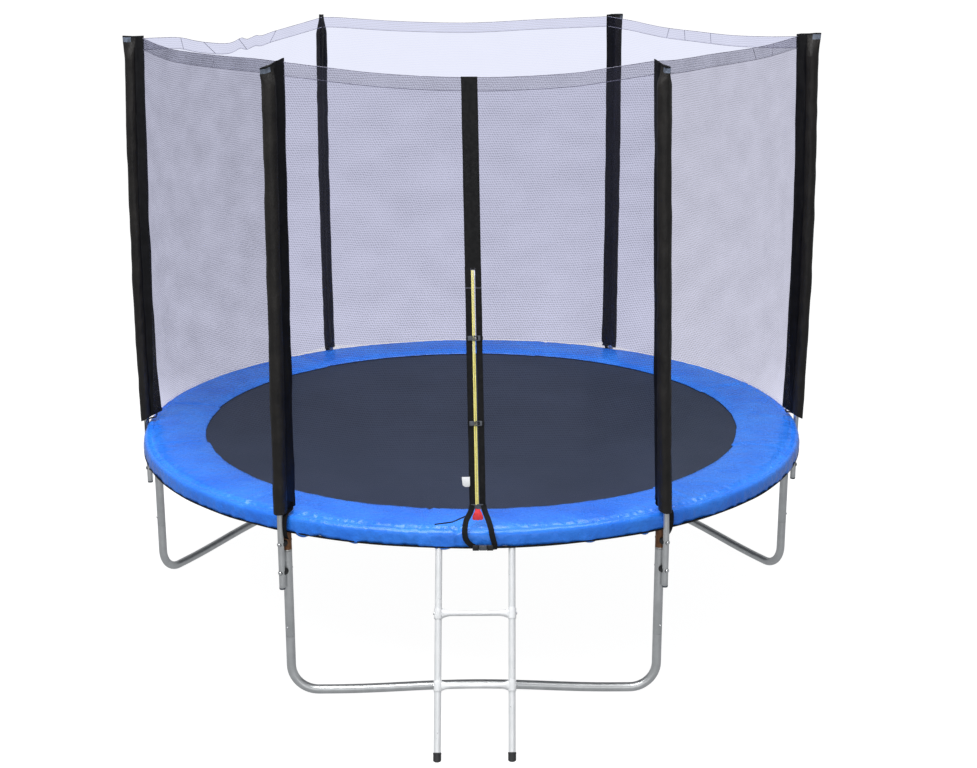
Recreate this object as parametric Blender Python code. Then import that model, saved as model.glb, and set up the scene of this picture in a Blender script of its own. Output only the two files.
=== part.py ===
"""Backyard trampoline: safety net, zipped door and hook-on ladder. Metres, +Z up, the door at -Y."""

import math

import bpy
import numpy as np

# The ring: six curved rail tubes, each with a welded socket for one leg
LEGS = 6
RING_R = 1.506  # to the centre of the rail tube
RING_Z = 0.757
RING_Y = 0.189  # moves the ring back, so that the origin is under the middle of the whole object
TUBE_R, TUBE_BORE = 0.019, 0.0175
SPIGOT_R, SPIGOT_BORE = 0.0172, 0.0157  # the narrowed end that goes into the next tube
RAIL_STEP = 6.0  # degrees between two rings of a rail tube
SPIGOT_ARC = 2.0
JOINT_GAP = 0.0004
SOCKET_BOTTOM, SOCKET_BORE_TOP, SPIGOT_TOP = 0.633, 0.705, 0.690
SIDES = 12
STEP_PAST = 0.01  # how far a cutter or a change of bore goes past the face it belongs to

# The legs: straight uppers on three U-shaped bases
LEG_JOINT_Z, BASE_SPIGOT_TOP = 0.260, 0.325
BEND_R, BEND_STEPS = 0.11, 5
FLAT_RUN, ARCH_RISE, ARCH_STEPS = 0.06, 0.018, 6

# The net poles, bolted to the outside of the legs
POLE_OUT = 0.042  # from the rail's centre circle to the pole's
POLE_R, POLE_BORE, POLE_SIDES = 0.0125, 0.0113, 10
POLE_BOTTOM, POLE_TOP = 0.483, 2.563
LEAN_FROM = 0.70  # the poles are straight below this height
POLE_LEAN = (  # x, y at the top, and the power of the curve: how the net pulls each pole in
    (-0.015, 0.0, 1.6), (-0.006, -0.018, 1.6), (0.003, -0.018, 1.6),
    (0.022, 0.0, 1.6), (0.015, 0.004, 1.6), (-0.052, 0.004, 1.0),
)
POLE_BOW = (  # x, y half way up: how each pole bends out
    (0.015, 0.0), (0.005, 0.009), (-0.009, 0.009), (-0.010, 0.0), (0.003, -0.008), (-0.002, 0.0),
)
POLE_RINGS = 6
BOLT_Z = (0.552, 0.673)
BOLT_R, BOLT_HOLE_R, BOLT_SIDES, HOLE_REACH = 0.0038, 0.0043, 8, 0.03
BOLT_HEAD_R, BOLT_HEAD_H, NUT_R, NUT_H = 0.0075, 0.005, 0.0068, 0.006
SPACER_HALF, SPACER_GAP = 0.011, 0.0004

# The padded pole sleeves: a foam tube with a flange towards the net
SLEEVE_R, SLEEVE_SIDES = 0.028, 14
SLEEVE_HANG = (  # x, y from the pole to the middle of its sleeve
    (0.003, 0.0), (0.001, -0.003), (-0.006, -0.003), (0.003, 0.0), (0.002, 0.004), (-0.005, 0.003),
)
SLEEVE_BORE, FLANGE_OUT, FLANGE_HALF = 0.0135, 0.042, 0.004
FLANGE_TWIST = (-19, -19, -19, -19, -19, -3)  # degrees from straight in
SLEEVE_BOTTOM, SLEEVE_SLOPE, SLEEVE_TOP = 0.786, 0.55, 2.586
BORE_TOP = 2.570

# The jump mat, its springs and the pad over them
MAT_R, MAT_TOP, MAT_THICK, MAT_SIDES = 1.310, 0.780, 0.004, 60
SPRINGS, SPRING_HALF, SPRING_TOP, SPRING_THICK = 54, 0.005, 0.7805, 0.008
SPRING_IN, SPRING_OUT, WEB_IN, WEB_OUT = 1.3106, 1.4860, 1.396, 1.402
PAD_IN, PAD_OUT, PAD_TOP, PAD_UNDER, PAD_ROUND = 1.250, 1.534, 0.798, 0.784, 0.006
SKIRT_THICK, SKIRT_BOTTOM, NOTCH_TOP, NOTCH_HALF = 0.003, 0.722, 0.772, 0.024
PAD_STEP, NOTCH_EDGE = 6.0, 0.1  # degrees between two sections of the pad, and across a notch's edge

# The net: a ring of panels between the flanges, and a zipped door in the front one
NET_HALF, NET_GAP, EDGE_SHIFT = 0.0008, 0.0020, 0.004
NET_TOP, NET_BOTTOM, NET_RIM_R = 2.575, 0.803, 1.500
NET_SAG, FRONT_SAG = (0.028, 0.030, 0.065, 0.026, 0.017), 0.054  # of the top edges, half way along
NET_COLS, NET_ROWS, WING_COLS, FLAT_COLS = 8, 6, 4, 7
PLANE_TOP, FRONT_TOP_Y, FRONT_BOTTOM_Y, FRONT_HALF = 2.530, 1.300, 1.500, 0.42
SLIT_TOP_X, SLIT_BOTTOM_X = -0.011, 0.016
APEX_Z, SLIT_BOTTOM_Z, FLAP_KNEE_X, FLAP_KNEE_Z = 1.810, 0.895, 0.20, 0.812
DOOR_GAP, APEX_COVER = 0.0006, 0.024
APEX_SHARE, CORNER_SHARE = 0.03, 0.985  # how far down the hinge line a flap starts and ends
CORNER_X = 0.70  # where the sagging top edge of the front net is level with the flanges
CLIP_Z = (1.541, 1.211, 0.905)
CLIP_PLUG = (((-0.015, 0, 0.0037), (0.019, 0.017, 0.0046)), ((0.001, 0, 0.0036), (0.022, 0.010, 0.0030)))
CLIP_FORK = (
    ((0.019, 0, 0.0028), (0.012, 0.017, 0.0056)),
    ((0.0055, -0.007, 0.0036), (0.019, 0.003, 0.0040)), ((0.0055, 0.007, 0.0036), (0.019, 0.003, 0.0040)),
)
SLIDER_UP, SLIDER_IN, SLIDER_SIZES = 0.012, 0.0024, (0.012, 0.022, 0.0036)
PULL_OUTLINE, PULL_HALF = ((-0.006, 0.004), (0.006, 0.004), (0.018, -0.046), (-0.018, -0.046)), 0.0011

# The ladder, hooked over the rail
LADDER_X, LADDER_HALF, LADDER_R, LADDER_BORE = 0.006, 0.143, 0.0135, 0.0123
LADDER_FOOT_RUN, LADDER_SLANT = 0.386, -0.008  # how far the feet stand out in front, and to one side
LADDER_LIFT = 0.008  # the height at which the axis of a ladder tube ends
HOOK_IN, HOOK_OUT, HOOK_HALF = 0.0214, 0.0246, 0.0125
HOOK_START, HOOK_END, HOOK_STEPS = 15.0, 262.0, 14
LADDER_TOP = 0.0228  # from the middle of the rail tube to the end of the ladder tube
STEP_Z = (0.495, 0.249)
STEP_SECTIONS = (  # the distance in from a rail, and half the height and depth there
    (0.0, 0.020, 0.010), (0.022, 0.018, 0.010), (0.048, 0.010, 0.010),
)
COLLAR_WALL, COLLAR_HALF = 0.0024, 0.021
FOOT_R, FOOT_BORE, FOOT_LONG, FOOT_BASE = 0.0160, 0.0138, 0.020, 0.006

GALVANISED, BLACK, BLUE = (0.62, 0.63, 0.65), (0.012, 0.012, 0.013), (0.03, 0.14, 0.75)
MESH_GREY, WHITE, RED = (0.05, 0.05, 0.06), (0.86, 0.87, 0.88), (0.8, 0.03, 0.03)
EAST, NORTH, UP = np.eye(3)


def start():
    """An empty scene with one helper at the ring's centre, which every piece hangs from."""
    for obj in list(bpy.data.objects):
        bpy.data.objects.remove(obj, do_unlink=True)
    ring = bpy.data.objects.new("ring_centre", None)
    ring.location = (0, RING_Y, 0)
    bpy.context.scene.collection.objects.link(ring)
    return ring


def out(angle):
    """The unit vector from the ring's axis at this angle."""
    return np.array([math.cos(angle), math.sin(angle), 0.0])


def leg_angle(i):
    return math.radians(360 / LEGS * i)


def circle(centre, u, v, radius, sides):
    """A ring of points whose flats face u and v."""
    turn = (np.arange(sides) + 0.5) * 2 * np.pi / sides
    return centre + radius * (np.cos(turn)[:, None] * u + np.sin(turn)[:, None] * v)


def skin(rings, closed=False):
    """Quads between neighbouring rings, as (points, faces)."""
    n, m = len(rings[0]), len(rings)
    faces = []
    for i in range(m if closed else m - 1):
        low, high = i * n, (i + 1) % m * n
        faces += [(low + k, low + (k + 1) % n, high + (k + 1) % n, high + k) for k in range(n)]
    return np.concatenate(rings), faces


def bar(rings):
    """A solid sweep with a flat cap at each end."""
    points, faces = skin(rings)
    n = len(rings[0])
    return points, faces + [tuple(range(n))[::-1], tuple(range(len(points) - n, len(points)))]


def pipe(outside, bore):
    """An open-ended tube from its outer and its bore rings."""
    return skin(list(outside) + list(bore)[::-1], closed=True)


def cup(outside, bore):
    """A sweep with a blind bore: both lists start at the open end."""
    points, faces = skin(list(bore)[::-1] + list(outside))
    n = len(outside[0])
    return points, faces + [tuple(range(n))[::-1], tuple(range(len(points) - n, len(points)))]


def box(centre, sizes, axes=np.eye(3)):
    """A block of these full sizes along three axes."""
    u, v, w = (np.asarray(a) * s / 2 for a, s in zip(axes, sizes))
    centre = np.asarray(centre, float)
    ring = [-u - v, u - v, u + v, -u + v]
    return bar([np.array([centre + c - w for c in ring]), np.array([centre + c + w for c in ring])])


def facing_out(points, faces):
    """The same faces, turned round if they enclose a negative volume."""
    volume = 0.0
    for f in faces:
        for a, b in zip(f[1:-1], f[2:]):
            volume += np.dot(points[f[0]], np.cross(points[a], points[b]))
    return faces if volume > 0 else [tuple(f)[::-1] for f in faces]


def mesh_object(name, shape):
    points, faces = shape
    mesh = bpy.data.meshes.new(name)
    mesh.from_pydata([tuple(map(float, p)) for p in points], [], facing_out(points, faces))
    mesh.update()
    obj = bpy.data.objects.new(name, mesh)
    bpy.context.scene.collection.objects.link(obj)
    return obj


def carve(shape, *steps):
    """The shape after each (operation, other shape) in turn, by exact Booleans."""
    helpers = [mesh_object("helper", shape)]
    for operation, other in steps:
        cutter = mesh_object("cutter", other)
        helpers.append(cutter)
        modifier = helpers[0].modifiers.new(operation, "BOOLEAN")
        modifier.operation, modifier.solver, modifier.object = operation, "EXACT", cutter
    bpy.context.view_layer.update()
    graph = bpy.context.evaluated_depsgraph_get()
    made = helpers[0].evaluated_get(graph).to_mesh()
    points = np.array([v.co[:] for v in made.vertices], float)
    faces = [tuple(p.vertices) for p in made.polygons]
    for helper in helpers:
        bpy.data.objects.remove(helper, do_unlink=True)
    return points, faces


def at_leg(i, shape):
    """A shape made at the first leg, turned to another."""
    points, faces = shape
    c, s = math.cos(leg_angle(i)), math.sin(leg_angle(i))
    return points @ np.array([[c, s, 0.0], [-s, c, 0.0], [0.0, 0.0, 1.0]]), faces


def add(ring, name, shape, colour, metallic=0.0, roughness=0.5, origin=(0.0, 0.0, 0.0), smooth=True):
    """One named piece with its own material, its origin at the stated point."""
    points, faces = shape
    obj = mesh_object(name, (points - np.asarray(origin, float), faces))
    obj.location, obj.parent = origin, ring
    material = bpy.data.materials.new(name)
    material.use_nodes = True
    surface = material.node_tree.nodes["Principled BSDF"]
    surface.inputs["Base Color"].default_value = (*colour, 1)
    surface.inputs["Metallic"].default_value = metallic
    surface.inputs["Roughness"].default_value = roughness
    obj.data.materials.append(material)
    if smooth:
        obj.data.shade_smooth()
        obj.data.set_sharp_from_angle(angle=math.radians(35))
    return obj


def steel(ring, name, shape, origin=(0.0, 0.0, 0.0)):
    return add(ring, name, shape, GALVANISED, metallic=0.9, roughness=0.35, origin=origin)


# ---- frame ----


def arc_rings(angles, radii):
    return [
        circle(RING_R * out(a) + RING_Z * UP, out(a), UP, r, SIDES)
        for a, r in zip(np.radians(angles), radii)
    ]


def bolt_hole(z, r):
    """A cutter for the hole through a tube at this distance from the ring's axis, at the first leg."""
    ends = [(r + s * HOLE_REACH) * EAST + z * UP for s in (-1, 1)]
    return bar([circle(c, NORTH, UP, BOLT_HOLE_R, BOLT_SIDES) for c in ends])


def rail_shape():
    """One sixth of the ring at the first leg, with its welded leg socket and its narrowed end."""
    half = 180 / LEGS
    gap = math.degrees(JOINT_GAP / RING_R)
    inner = list(np.arange(-half + RAIL_STEP, half - RAIL_STEP / 2, RAIL_STEP))
    body = [gap - half, SPIGOT_ARC - half] + inner + [half - SPIGOT_ARC, half - gap]
    tip = half + SPIGOT_ARC - RAIL_STEP / 10
    outside = arc_rings(body + [body[-1], tip], [TUBE_R] * len(body) + [SPIGOT_R] * 2)
    bore = arc_rings(
        [body[0] - 1] + body[:-1] + [body[-2], body[-1], tip, tip + 1],
        [TUBE_BORE] * len(body) + [SPIGOT_BORE] * 4,
    )
    at = RING_R * EAST
    socket = bar([circle(at + z * UP, EAST, NORTH, TUBE_R, SIDES) for z in (SOCKET_BOTTOM, RING_Z)])
    inside = (SOCKET_BOTTOM - STEP_PAST, SOCKET_BORE_TOP)
    hollow = bar([circle(at + z * UP, EAST, NORTH, TUBE_BORE, SIDES) for z in inside])
    return carve(
        bar(outside), ("UNION", socket), ("DIFFERENCE", bar(bore)), ("DIFFERENCE", hollow),
        ("DIFFERENCE", bolt_hole(BOLT_Z[1], RING_R)),
    )


def leg_shape():
    at = RING_R * EAST
    low, shoulder = LEG_JOINT_Z + JOINT_GAP, SOCKET_BOTTOM - JOINT_GAP
    outside = [(low, TUBE_R), (shoulder, TUBE_R), (shoulder, SPIGOT_R), (SPIGOT_TOP, SPIGOT_R)]
    bore = [
        (low, TUBE_BORE), (shoulder - STEP_PAST, TUBE_BORE),
        (shoulder, SPIGOT_BORE), (SPIGOT_TOP, SPIGOT_BORE),
    ]
    rings = [[circle(at + z * UP, EAST, NORTH, r, SIDES) for z, r in part] for part in (outside, bore)]
    return carve(pipe(*rings), *[("DIFFERENCE", bolt_hole(z, RING_R)) for z in BOLT_Z])


def base_path(a, b):
    """(centres, tangents) of a U from the top at a, round two bends, to the top at b."""
    along = (b - a) / np.linalg.norm(b - a)
    floor = TUBE_R * math.cos(math.pi / SIDES)
    bend_top = floor + BEND_R
    length = np.linalg.norm(b - a)
    side = [(a + LEG_JOINT_Z * UP, -UP)]
    for k in range(BEND_STEPS + 1):
        t = math.pi / 2 * k / BEND_STEPS
        centre = a + BEND_R * (1 - math.cos(t)) * along + (bend_top - BEND_R * math.sin(t)) * UP
        side.append((centre, math.sin(t) * along - math.cos(t) * UP))
    run = length - 2 * (BEND_R + FLAT_RUN)
    middle = []
    for k in range(ARCH_STEPS + 1):
        s = k / ARCH_STEPS
        height = floor + ARCH_RISE * math.sin(math.pi * s) ** 2
        centre = a + (BEND_R + FLAT_RUN + run * s) * along + height * UP
        slope = ARCH_RISE * math.pi / run * math.sin(2 * math.pi * s)
        middle.append((centre, (along + slope * UP) / math.hypot(1, slope)))
    flip = [(a + b - c + 2 * (c @ UP) * UP, (t - 2 * (t @ UP) * UP)) for c, t in side[::-1]]
    return side + middle + flip


def base_leg(a, b):
    """A U-shaped base whose flat facets rest on the floor, narrowed at both tops."""
    path = base_path(a, b)
    across = np.cross((b - a) / np.linalg.norm(b - a), UP)
    (first, down), (last, up) = path[0], path[-1]
    rise = (BASE_SPIGOT_TOP - LEG_JOINT_Z) * UP
    stations = (
        [(first + rise, down, SPIGOT_R), (first, down, SPIGOT_R)]
        + [(c, t, TUBE_R) for c, t in path]
        + [(last, up, SPIGOT_R), (last + rise, up, SPIGOT_R)]
    )
    wall = TUBE_R - TUBE_BORE
    outside = [circle(c, across, np.cross(across, t), r, SIDES) for c, t, r in stations]
    bore = [circle(c, across, np.cross(across, t), r - wall, SIDES) for c, t, r in stations]
    for k in (1, 2):  # the bore narrows below the shoulder, so that the wall is never cut through
        bore[k] = bore[k] - k * STEP_PAST * UP
        bore[-1 - k] = bore[-1 - k] - k * STEP_PAST * UP
    return pipe(outside, bore)


def make_frame(ring):
    rail, leg = rail_shape(), leg_shape()
    for i in range(LEGS):
        steel(ring, f"top_rail_{i + 1}", at_leg(i, rail))
        steel(ring, f"upper_leg_{i + 1}", at_leg(i, leg))
    for name, i, j in (("right", 0, 1), ("left", 2, 3), ("front", 4, 5)):
        ends = RING_R * out(leg_angle(i)), RING_R * out(leg_angle(j))
        steel(ring, f"base_leg_{name}", base_leg(*ends))


# ---- poles and their sleeves ----


def pole_heights():
    """Where a pole's sections are, with the top of its sleeve at the end."""
    return np.array([POLE_BOTTOM, *np.linspace(LEAN_FROM, POLE_TOP, POLE_RINGS), SLEEVE_TOP])


def pole_centre(i, z):
    """The middle of a pole at this height: straight at the bottom, bowed and pulled in above."""
    x, y, power = POLE_LEAN[i]
    heights = pole_heights()
    s = np.maximum(0.0, (heights - LEAN_FROM) / (POLE_TOP - LEAN_FROM))
    bow = np.sin(np.pi * np.minimum(s, 1.0))[:, None] * np.array([*POLE_BOW[i], 0.0])
    lean = (s**power)[:, None] * np.array([x, y, 0.0])
    middle = (RING_R + POLE_OUT) * out(leg_angle(i)) + bow + lean
    return np.array([np.interp(z, heights, middle[:, 0]), np.interp(z, heights, middle[:, 1]), z])


def pole(i):
    """A pole with its two bolt holes."""
    heights = pole_heights()[:-1]
    e, side = out(leg_angle(i)), out(leg_angle(i) + math.pi / 2)
    outside = [circle(pole_centre(i, z), e, side, POLE_R, POLE_SIDES) for z in heights]
    bore = [circle(pole_centre(i, z), e, side, POLE_BORE, POLE_SIDES) for z in heights]
    holes = [("DIFFERENCE", at_leg(i, bolt_hole(z, RING_R + POLE_OUT))) for z in BOLT_Z]
    return carve(pipe(outside, bore), *holes)


def bolt_shape(z):
    """A bolt through the pole and the leg, with the spacer between them, at the first leg."""
    pole_face = RING_R + POLE_OUT + POLE_R
    leg_back = RING_R - TUBE_R
    stations = [
        (leg_back - NUT_H, NUT_R), (leg_back - SPACER_GAP, NUT_R), (leg_back - SPACER_GAP, BOLT_R),
        (pole_face + SPACER_GAP, BOLT_R), (pole_face + SPACER_GAP, BOLT_HEAD_R),
        (pole_face + BOLT_HEAD_H * 0.6, BOLT_HEAD_R * 0.86), (pole_face + BOLT_HEAD_H, BOLT_HEAD_R * 0.4),
    ]
    shaft = bar([circle(r * EAST + z * UP, NORTH, UP, w, BOLT_SIDES) for r, w in stations])
    inner, outer = RING_R + TUBE_R + SPACER_GAP, RING_R + POLE_OUT - POLE_R - SPACER_GAP
    spacer = box(((inner + outer) / 2, 0, z), (outer - inner, 2 * SPACER_HALF, 2 * SPACER_HALF))
    return carve(shaft, ("UNION", spacer))


def sleeve_frame(i, z):
    """(the middle of a sleeve, the direction its flange points in)."""
    hang = np.array([*SLEEVE_HANG[i], 0.0])
    return pole_centre(i, z) + hang, out(leg_angle(i) + math.pi + math.radians(FLANGE_TWIST[i]))


def sleeve_outline(i, z):
    """Round the foam tube and out along the flange towards the net: the flange's tips come last."""
    centre, inward = sleeve_frame(i, z)
    side = np.array([-inward[1], inward[0], 0.0])
    root = math.asin(FLANGE_HALF / SLEEVE_R)
    turn = np.linspace(root, 2 * math.pi - root, SLEEVE_SIDES)
    tube = centre + SLEEVE_R * (np.cos(turn)[:, None] * inward + np.sin(turn)[:, None] * side)
    tip = centre + (SLEEVE_R + FLANGE_OUT) * inward
    return np.concatenate([tube, [tip - FLANGE_HALF * side, tip + FLANGE_HALF * side]])


def flange_tip(i, z):
    """(the middle of the flange's edge, the direction it points in)."""
    centre, inward = sleeve_frame(i, z)
    return centre + (SLEEVE_R + FLANGE_OUT) * inward, inward


def sleeve(i):
    """The bore takes the pole from below. The bottom edge is higher towards the pad, which it clears."""
    heights = [SLEEVE_BOTTOM, *pole_heights()[2:]]
    outside, bore = [], []
    for z in heights:
        outline = sleeve_outline(i, z)
        middle = pole_centre(i, z)
        rays = outline - middle
        bore.append(middle + SLEEVE_BORE * rays / np.linalg.norm(rays, axis=1)[:, None])
        outside.append(outline)
    face = RING_R + POLE_OUT + SLEEVE_R
    e = out(leg_angle(i))
    outside[0] = outside[0] + SLEEVE_SLOPE * np.maximum(0, face - outside[0] @ e)[:, None] * UP
    bore[0] = bore[0] + SLEEVE_SLOPE * np.maximum(0, face - bore[0] @ e)[:, None] * UP
    bore[-1] = bore[-1] - (SLEEVE_TOP - BORE_TOP) * UP
    return cup(outside, bore)


def make_poles(ring):
    bolts = [bolt_shape(z) for z in BOLT_Z]
    for i in range(LEGS):
        steel(ring, f"pole_{i + 1}", pole(i))
        add(ring, f"pole_sleeve_{i + 1}", sleeve(i), BLACK, roughness=0.45)
        for name, bolt in zip(("lower", "upper"), bolts):
            steel(ring, f"pole_bolt_{name}_{i + 1}", at_leg(i, bolt))


# ---- mat, springs, pad ----


def mat():
    rings = [
        np.array([MAT_R * out(t) + z * UP for t in np.arange(MAT_SIDES) * 2 * math.pi / MAT_SIDES])
        for z in (MAT_TOP - MAT_THICK, MAT_TOP)
    ]
    return bar(rings)


def spring_set():
    """All the springs as radial bars, held to one body by a thin ring half way along."""
    pitch = 2 * math.pi / SPRINGS
    inner, outer = [], []
    for k in range(SPRINGS):
        for side in (-1, 1):
            for edge, web, tip in ((inner, WEB_IN, SPRING_IN), (outer, WEB_OUT, SPRING_OUT)):
                turned = [k * pitch + side * SPRING_HALF / r for r in (web, tip)]
                pair = [web * out(turned[0]), tip * out(turned[1])]
                edge.extend(pair if side < 0 else pair[::-1])
    low, high = (SPRING_TOP - SPRING_THICK) * UP, SPRING_TOP * UP
    inner, outer = np.array(inner), np.array(outer)
    return skin([inner + low, outer + low, outer + high, inner + high], closed=True)


def pad():
    """A flat foam ring with a skirt down its outside, notched where the ladder hooks swing."""
    near = math.degrees(NOTCH_HALF / PAD_OUT)
    plain = [(a, SKIRT_BOTTOM) for a in np.arange(0, 360, PAD_STEP)]
    for side in (-1, 1):
        mid = ladder_top(side)[1]
        plain = [(a, bottom) for a, bottom in plain if abs(a - mid) > near + NOTCH_EDGE]
        plain += [(mid + s * (near + NOTCH_EDGE), SKIRT_BOTTOM) for s in (-1, 1)]
        plain += [(mid + s * near, NOTCH_TOP) for s in (-1, 1)]
    rings = []
    for a, bottom in sorted(plain):
        section = [
            (PAD_IN, PAD_UNDER), (PAD_OUT - SKIRT_THICK, PAD_UNDER), (PAD_OUT - SKIRT_THICK, bottom),
            (PAD_OUT, bottom), (PAD_OUT, PAD_TOP - PAD_ROUND), (PAD_OUT - PAD_ROUND, PAD_TOP),
            (PAD_IN + PAD_ROUND, PAD_TOP), (PAD_IN, PAD_TOP - PAD_ROUND),
        ]
        rings.append(np.array([r * out(math.radians(a)) + z * UP for r, z in section]))
    return skin(rings, closed=True)


# ---- net and door ----


def door_slope():
    return (FRONT_BOTTOM_Y - FRONT_TOP_Y) / (PLANE_TOP - NET_BOTTOM)


def door_normal():
    """Out of the front of the door's plane."""
    return np.array([0.0, -1.0, door_slope()]) / math.hypot(1, door_slope())


def door_point(x, z):
    """A point of the door's plane: x is from the slit."""
    s = (PLANE_TOP - z) / (PLANE_TOP - NET_BOTTOM)
    slit = SLIT_TOP_X + (SLIT_BOTTOM_X - SLIT_TOP_X) * s
    return np.array([x + slit, -(FRONT_TOP_Y + (FRONT_BOTTOM_Y - FRONT_TOP_Y) * s), z])


def slab(polygon, normal, half):
    """A flat plate of a polygon's outline."""
    return bar([np.array(polygon) + k * half * normal for k in (-1, 1)])


def net_sheet(grid):
    """A thin solid of one grid of points, both faces split into the same triangles."""
    rows, cols = grid.shape[:2]
    down, across = np.gradient(grid, axis=0), np.gradient(grid, axis=1)
    normal = np.cross(across, down)
    normal /= np.linalg.norm(normal, axis=2)[:, :, None]
    points = np.concatenate([(grid + s * NET_HALF * normal).reshape(-1, 3) for s in (-1, 1)])
    n = rows * cols
    faces = []
    for r in range(rows - 1):
        for c in range(cols - 1):
            a, b = r * cols + c, (r + 1) * cols + c
            faces += [(a, a + 1, b + 1), (a, b + 1, b)]
    faces += [tuple(n + k for k in f[::-1]) for f in faces]
    edge = [(0, c) for c in range(cols)] + [(r, cols - 1) for r in range(1, rows)]
    edge += [(rows - 1, c) for c in range(cols - 2, -1, -1)] + [(r, 0) for r in range(rows - 2, 0, -1)]
    index = [r * cols + c for r, c in edge]
    for a, b in zip(index, index[1:] + index[:1]):
        faces.append((b, a, a + n, b + n))
    return points, faces


def net_edge(i, z, way):
    """Where a net panel meets a flange, just clear of it: way is 1 for the panel that goes on from it."""
    tip, inward = flange_tip(i, z)
    return tip + (NET_GAP + NET_HALF * 2) * inward + way * EDGE_SHIFT * out(leg_angle(i) + math.pi / 2)


def panel_grid(i, j, sag):
    """Straight lines from the sagging hem at the top to the round rim at the bottom."""
    grid = np.zeros((NET_ROWS + 1, NET_COLS + 1, 3))
    for c in range(NET_COLS + 1):
        u = c / NET_COLS
        top = (1 - u) * net_edge(i, NET_TOP, 1) + u * net_edge(j, NET_TOP, -1)
        top -= sag * (1 - (2 * u - 1) ** 2) * UP
        foot = NET_BOTTOM + SLEEVE_SLOPE * 2 * SLEEVE_R
        ends = net_edge(i, foot, 1), net_edge(j, foot, -1)
        bottom = (1 - u) * ends[0] + u * ends[1]
        reach = np.linalg.norm(bottom[:2])
        edge_r = (1 - u) * np.linalg.norm(ends[0][:2]) + u * np.linalg.norm(ends[1][:2])
        wide = edge_r + (NET_RIM_R - edge_r) * math.sin(math.pi * u)
        height = NET_BOTTOM + (foot - NET_BOTTOM) * abs(2 * u - 1) ** 3
        bottom = np.array([*(bottom[:2] / reach * wide), height])
        for r in range(NET_ROWS + 1):
            grid[r, c] = top + (bottom - top) * r / NET_ROWS
    return grid


def front_column(x):
    """The points down the flat part of the front net at this x, from its top to the door's hinge line."""
    share = 1 - abs(x) / FRONT_HALF
    top = door_point(x, NET_TOP - FRONT_SAG * (1 - (x / CORNER_X) ** 2))
    low = door_point(x, NET_BOTTOM + (APEX_Z + APEX_COVER - NET_BOTTOM) * share)
    return np.array([top + (low - top) * r / NET_ROWS for r in range(NET_ROWS + 1)])


def front_wing(i, side):
    """The points between a flange and the flat part of the front net."""
    foot = NET_BOTTOM + SLEEVE_SLOPE * 2 * SLEEVE_R
    edge = np.array([net_edge(i, z, -side) for z in np.linspace(NET_TOP, foot, NET_ROWS + 1)])
    line = front_column(side * FRONT_HALF)
    return [edge + (line - edge) * c / WING_COLS for c in range(WING_COLS)]


def net_front():
    """One sheet round the door: a side wing, the flat part beside the flap, across the top, and back."""
    flat = [front_column(x) for x in np.linspace(-FRONT_HALF, FRONT_HALF, FLAT_COLS)]
    return net_sheet(np.stack(front_wing(4, -1) + flat + front_wing(5, 1)[::-1], axis=1))


def door_hinge(side):
    """(a point, the unit direction) of a flap's hinge, on the net's front face. Turning by + opens it."""
    top = door_point(0, APEX_Z) + NET_HALF * door_normal()
    corner = door_point(side * FRONT_HALF, NET_BOTTOM) + NET_HALF * door_normal()
    along = (corner - top) / np.linalg.norm(corner - top)
    return (top + corner) / 2, -side * along


def flap_outline(side):
    """The flap's corners, a little inside its hinge line and the slit."""
    along = door_point(side * FRONT_HALF, NET_BOTTOM) - door_point(0, APEX_Z)
    away = np.cross(along, door_normal())
    away *= side * DOOR_GAP * 2 / np.linalg.norm(away)
    start, end = [
        door_point(side * FRONT_HALF * share, APEX_Z - (APEX_Z - NET_BOTTOM) * share) + away
        for share in (APEX_SHARE, CORNER_SHARE)
    ]
    return [
        start, door_point(side * DOOR_GAP, start[2]), door_point(side * DOOR_GAP, SLIT_BOTTOM_Z),
        door_point(side * FLAP_KNEE_X, FLAP_KNEE_Z), end,
    ]


def door_axes():
    """Across, up along the slit, and out of the door's plane."""
    up = door_point(0, APEX_Z) - door_point(0, NET_BOTTOM)
    up /= np.linalg.norm(up)
    across = EAST - (EAST @ up) * up
    across /= np.linalg.norm(across)
    return np.array([across, up, door_normal()])


def door_block(z, place, sizes):
    """A box on the door at this height: place and sizes are across, up and out of its plane."""
    axes = door_axes()
    return box(door_point(0, z) + np.asarray(place) @ axes, sizes, axes)


def clip_socket(z):
    """An open fork on the right flap: a foot on the net and an arm over and under the plug."""
    return [("UNION", door_block(z, place, sizes)) for place, sizes in CLIP_FORK]


def clip_plug(z):
    """A block on the left flap with a tongue that lies in the fork."""
    block, tongue = [door_block(z, place, sizes) for place, sizes in CLIP_PLUG]
    return carve(block, ("UNION", tongue))


def clip_origin(z):
    return door_point(0, z) + np.asarray(CLIP_PLUG[0][0]) @ door_axes()


def slider_shape():
    """The zip's slider on the inside of the net, with its pull hanging below the door."""
    axes = door_axes()
    at = slider_origin()
    outline = [at + np.array([x, s, 0.0]) @ axes for x, s in PULL_OUTLINE]
    return carve(box(at, SLIDER_SIZES, axes), ("UNION", slab(outline, door_normal(), PULL_HALF)))


def slider_origin():
    return door_point(0, SLIT_BOTTOM_Z + SLIDER_UP) - (NET_HALF + SLIDER_IN) * door_normal()


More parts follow.
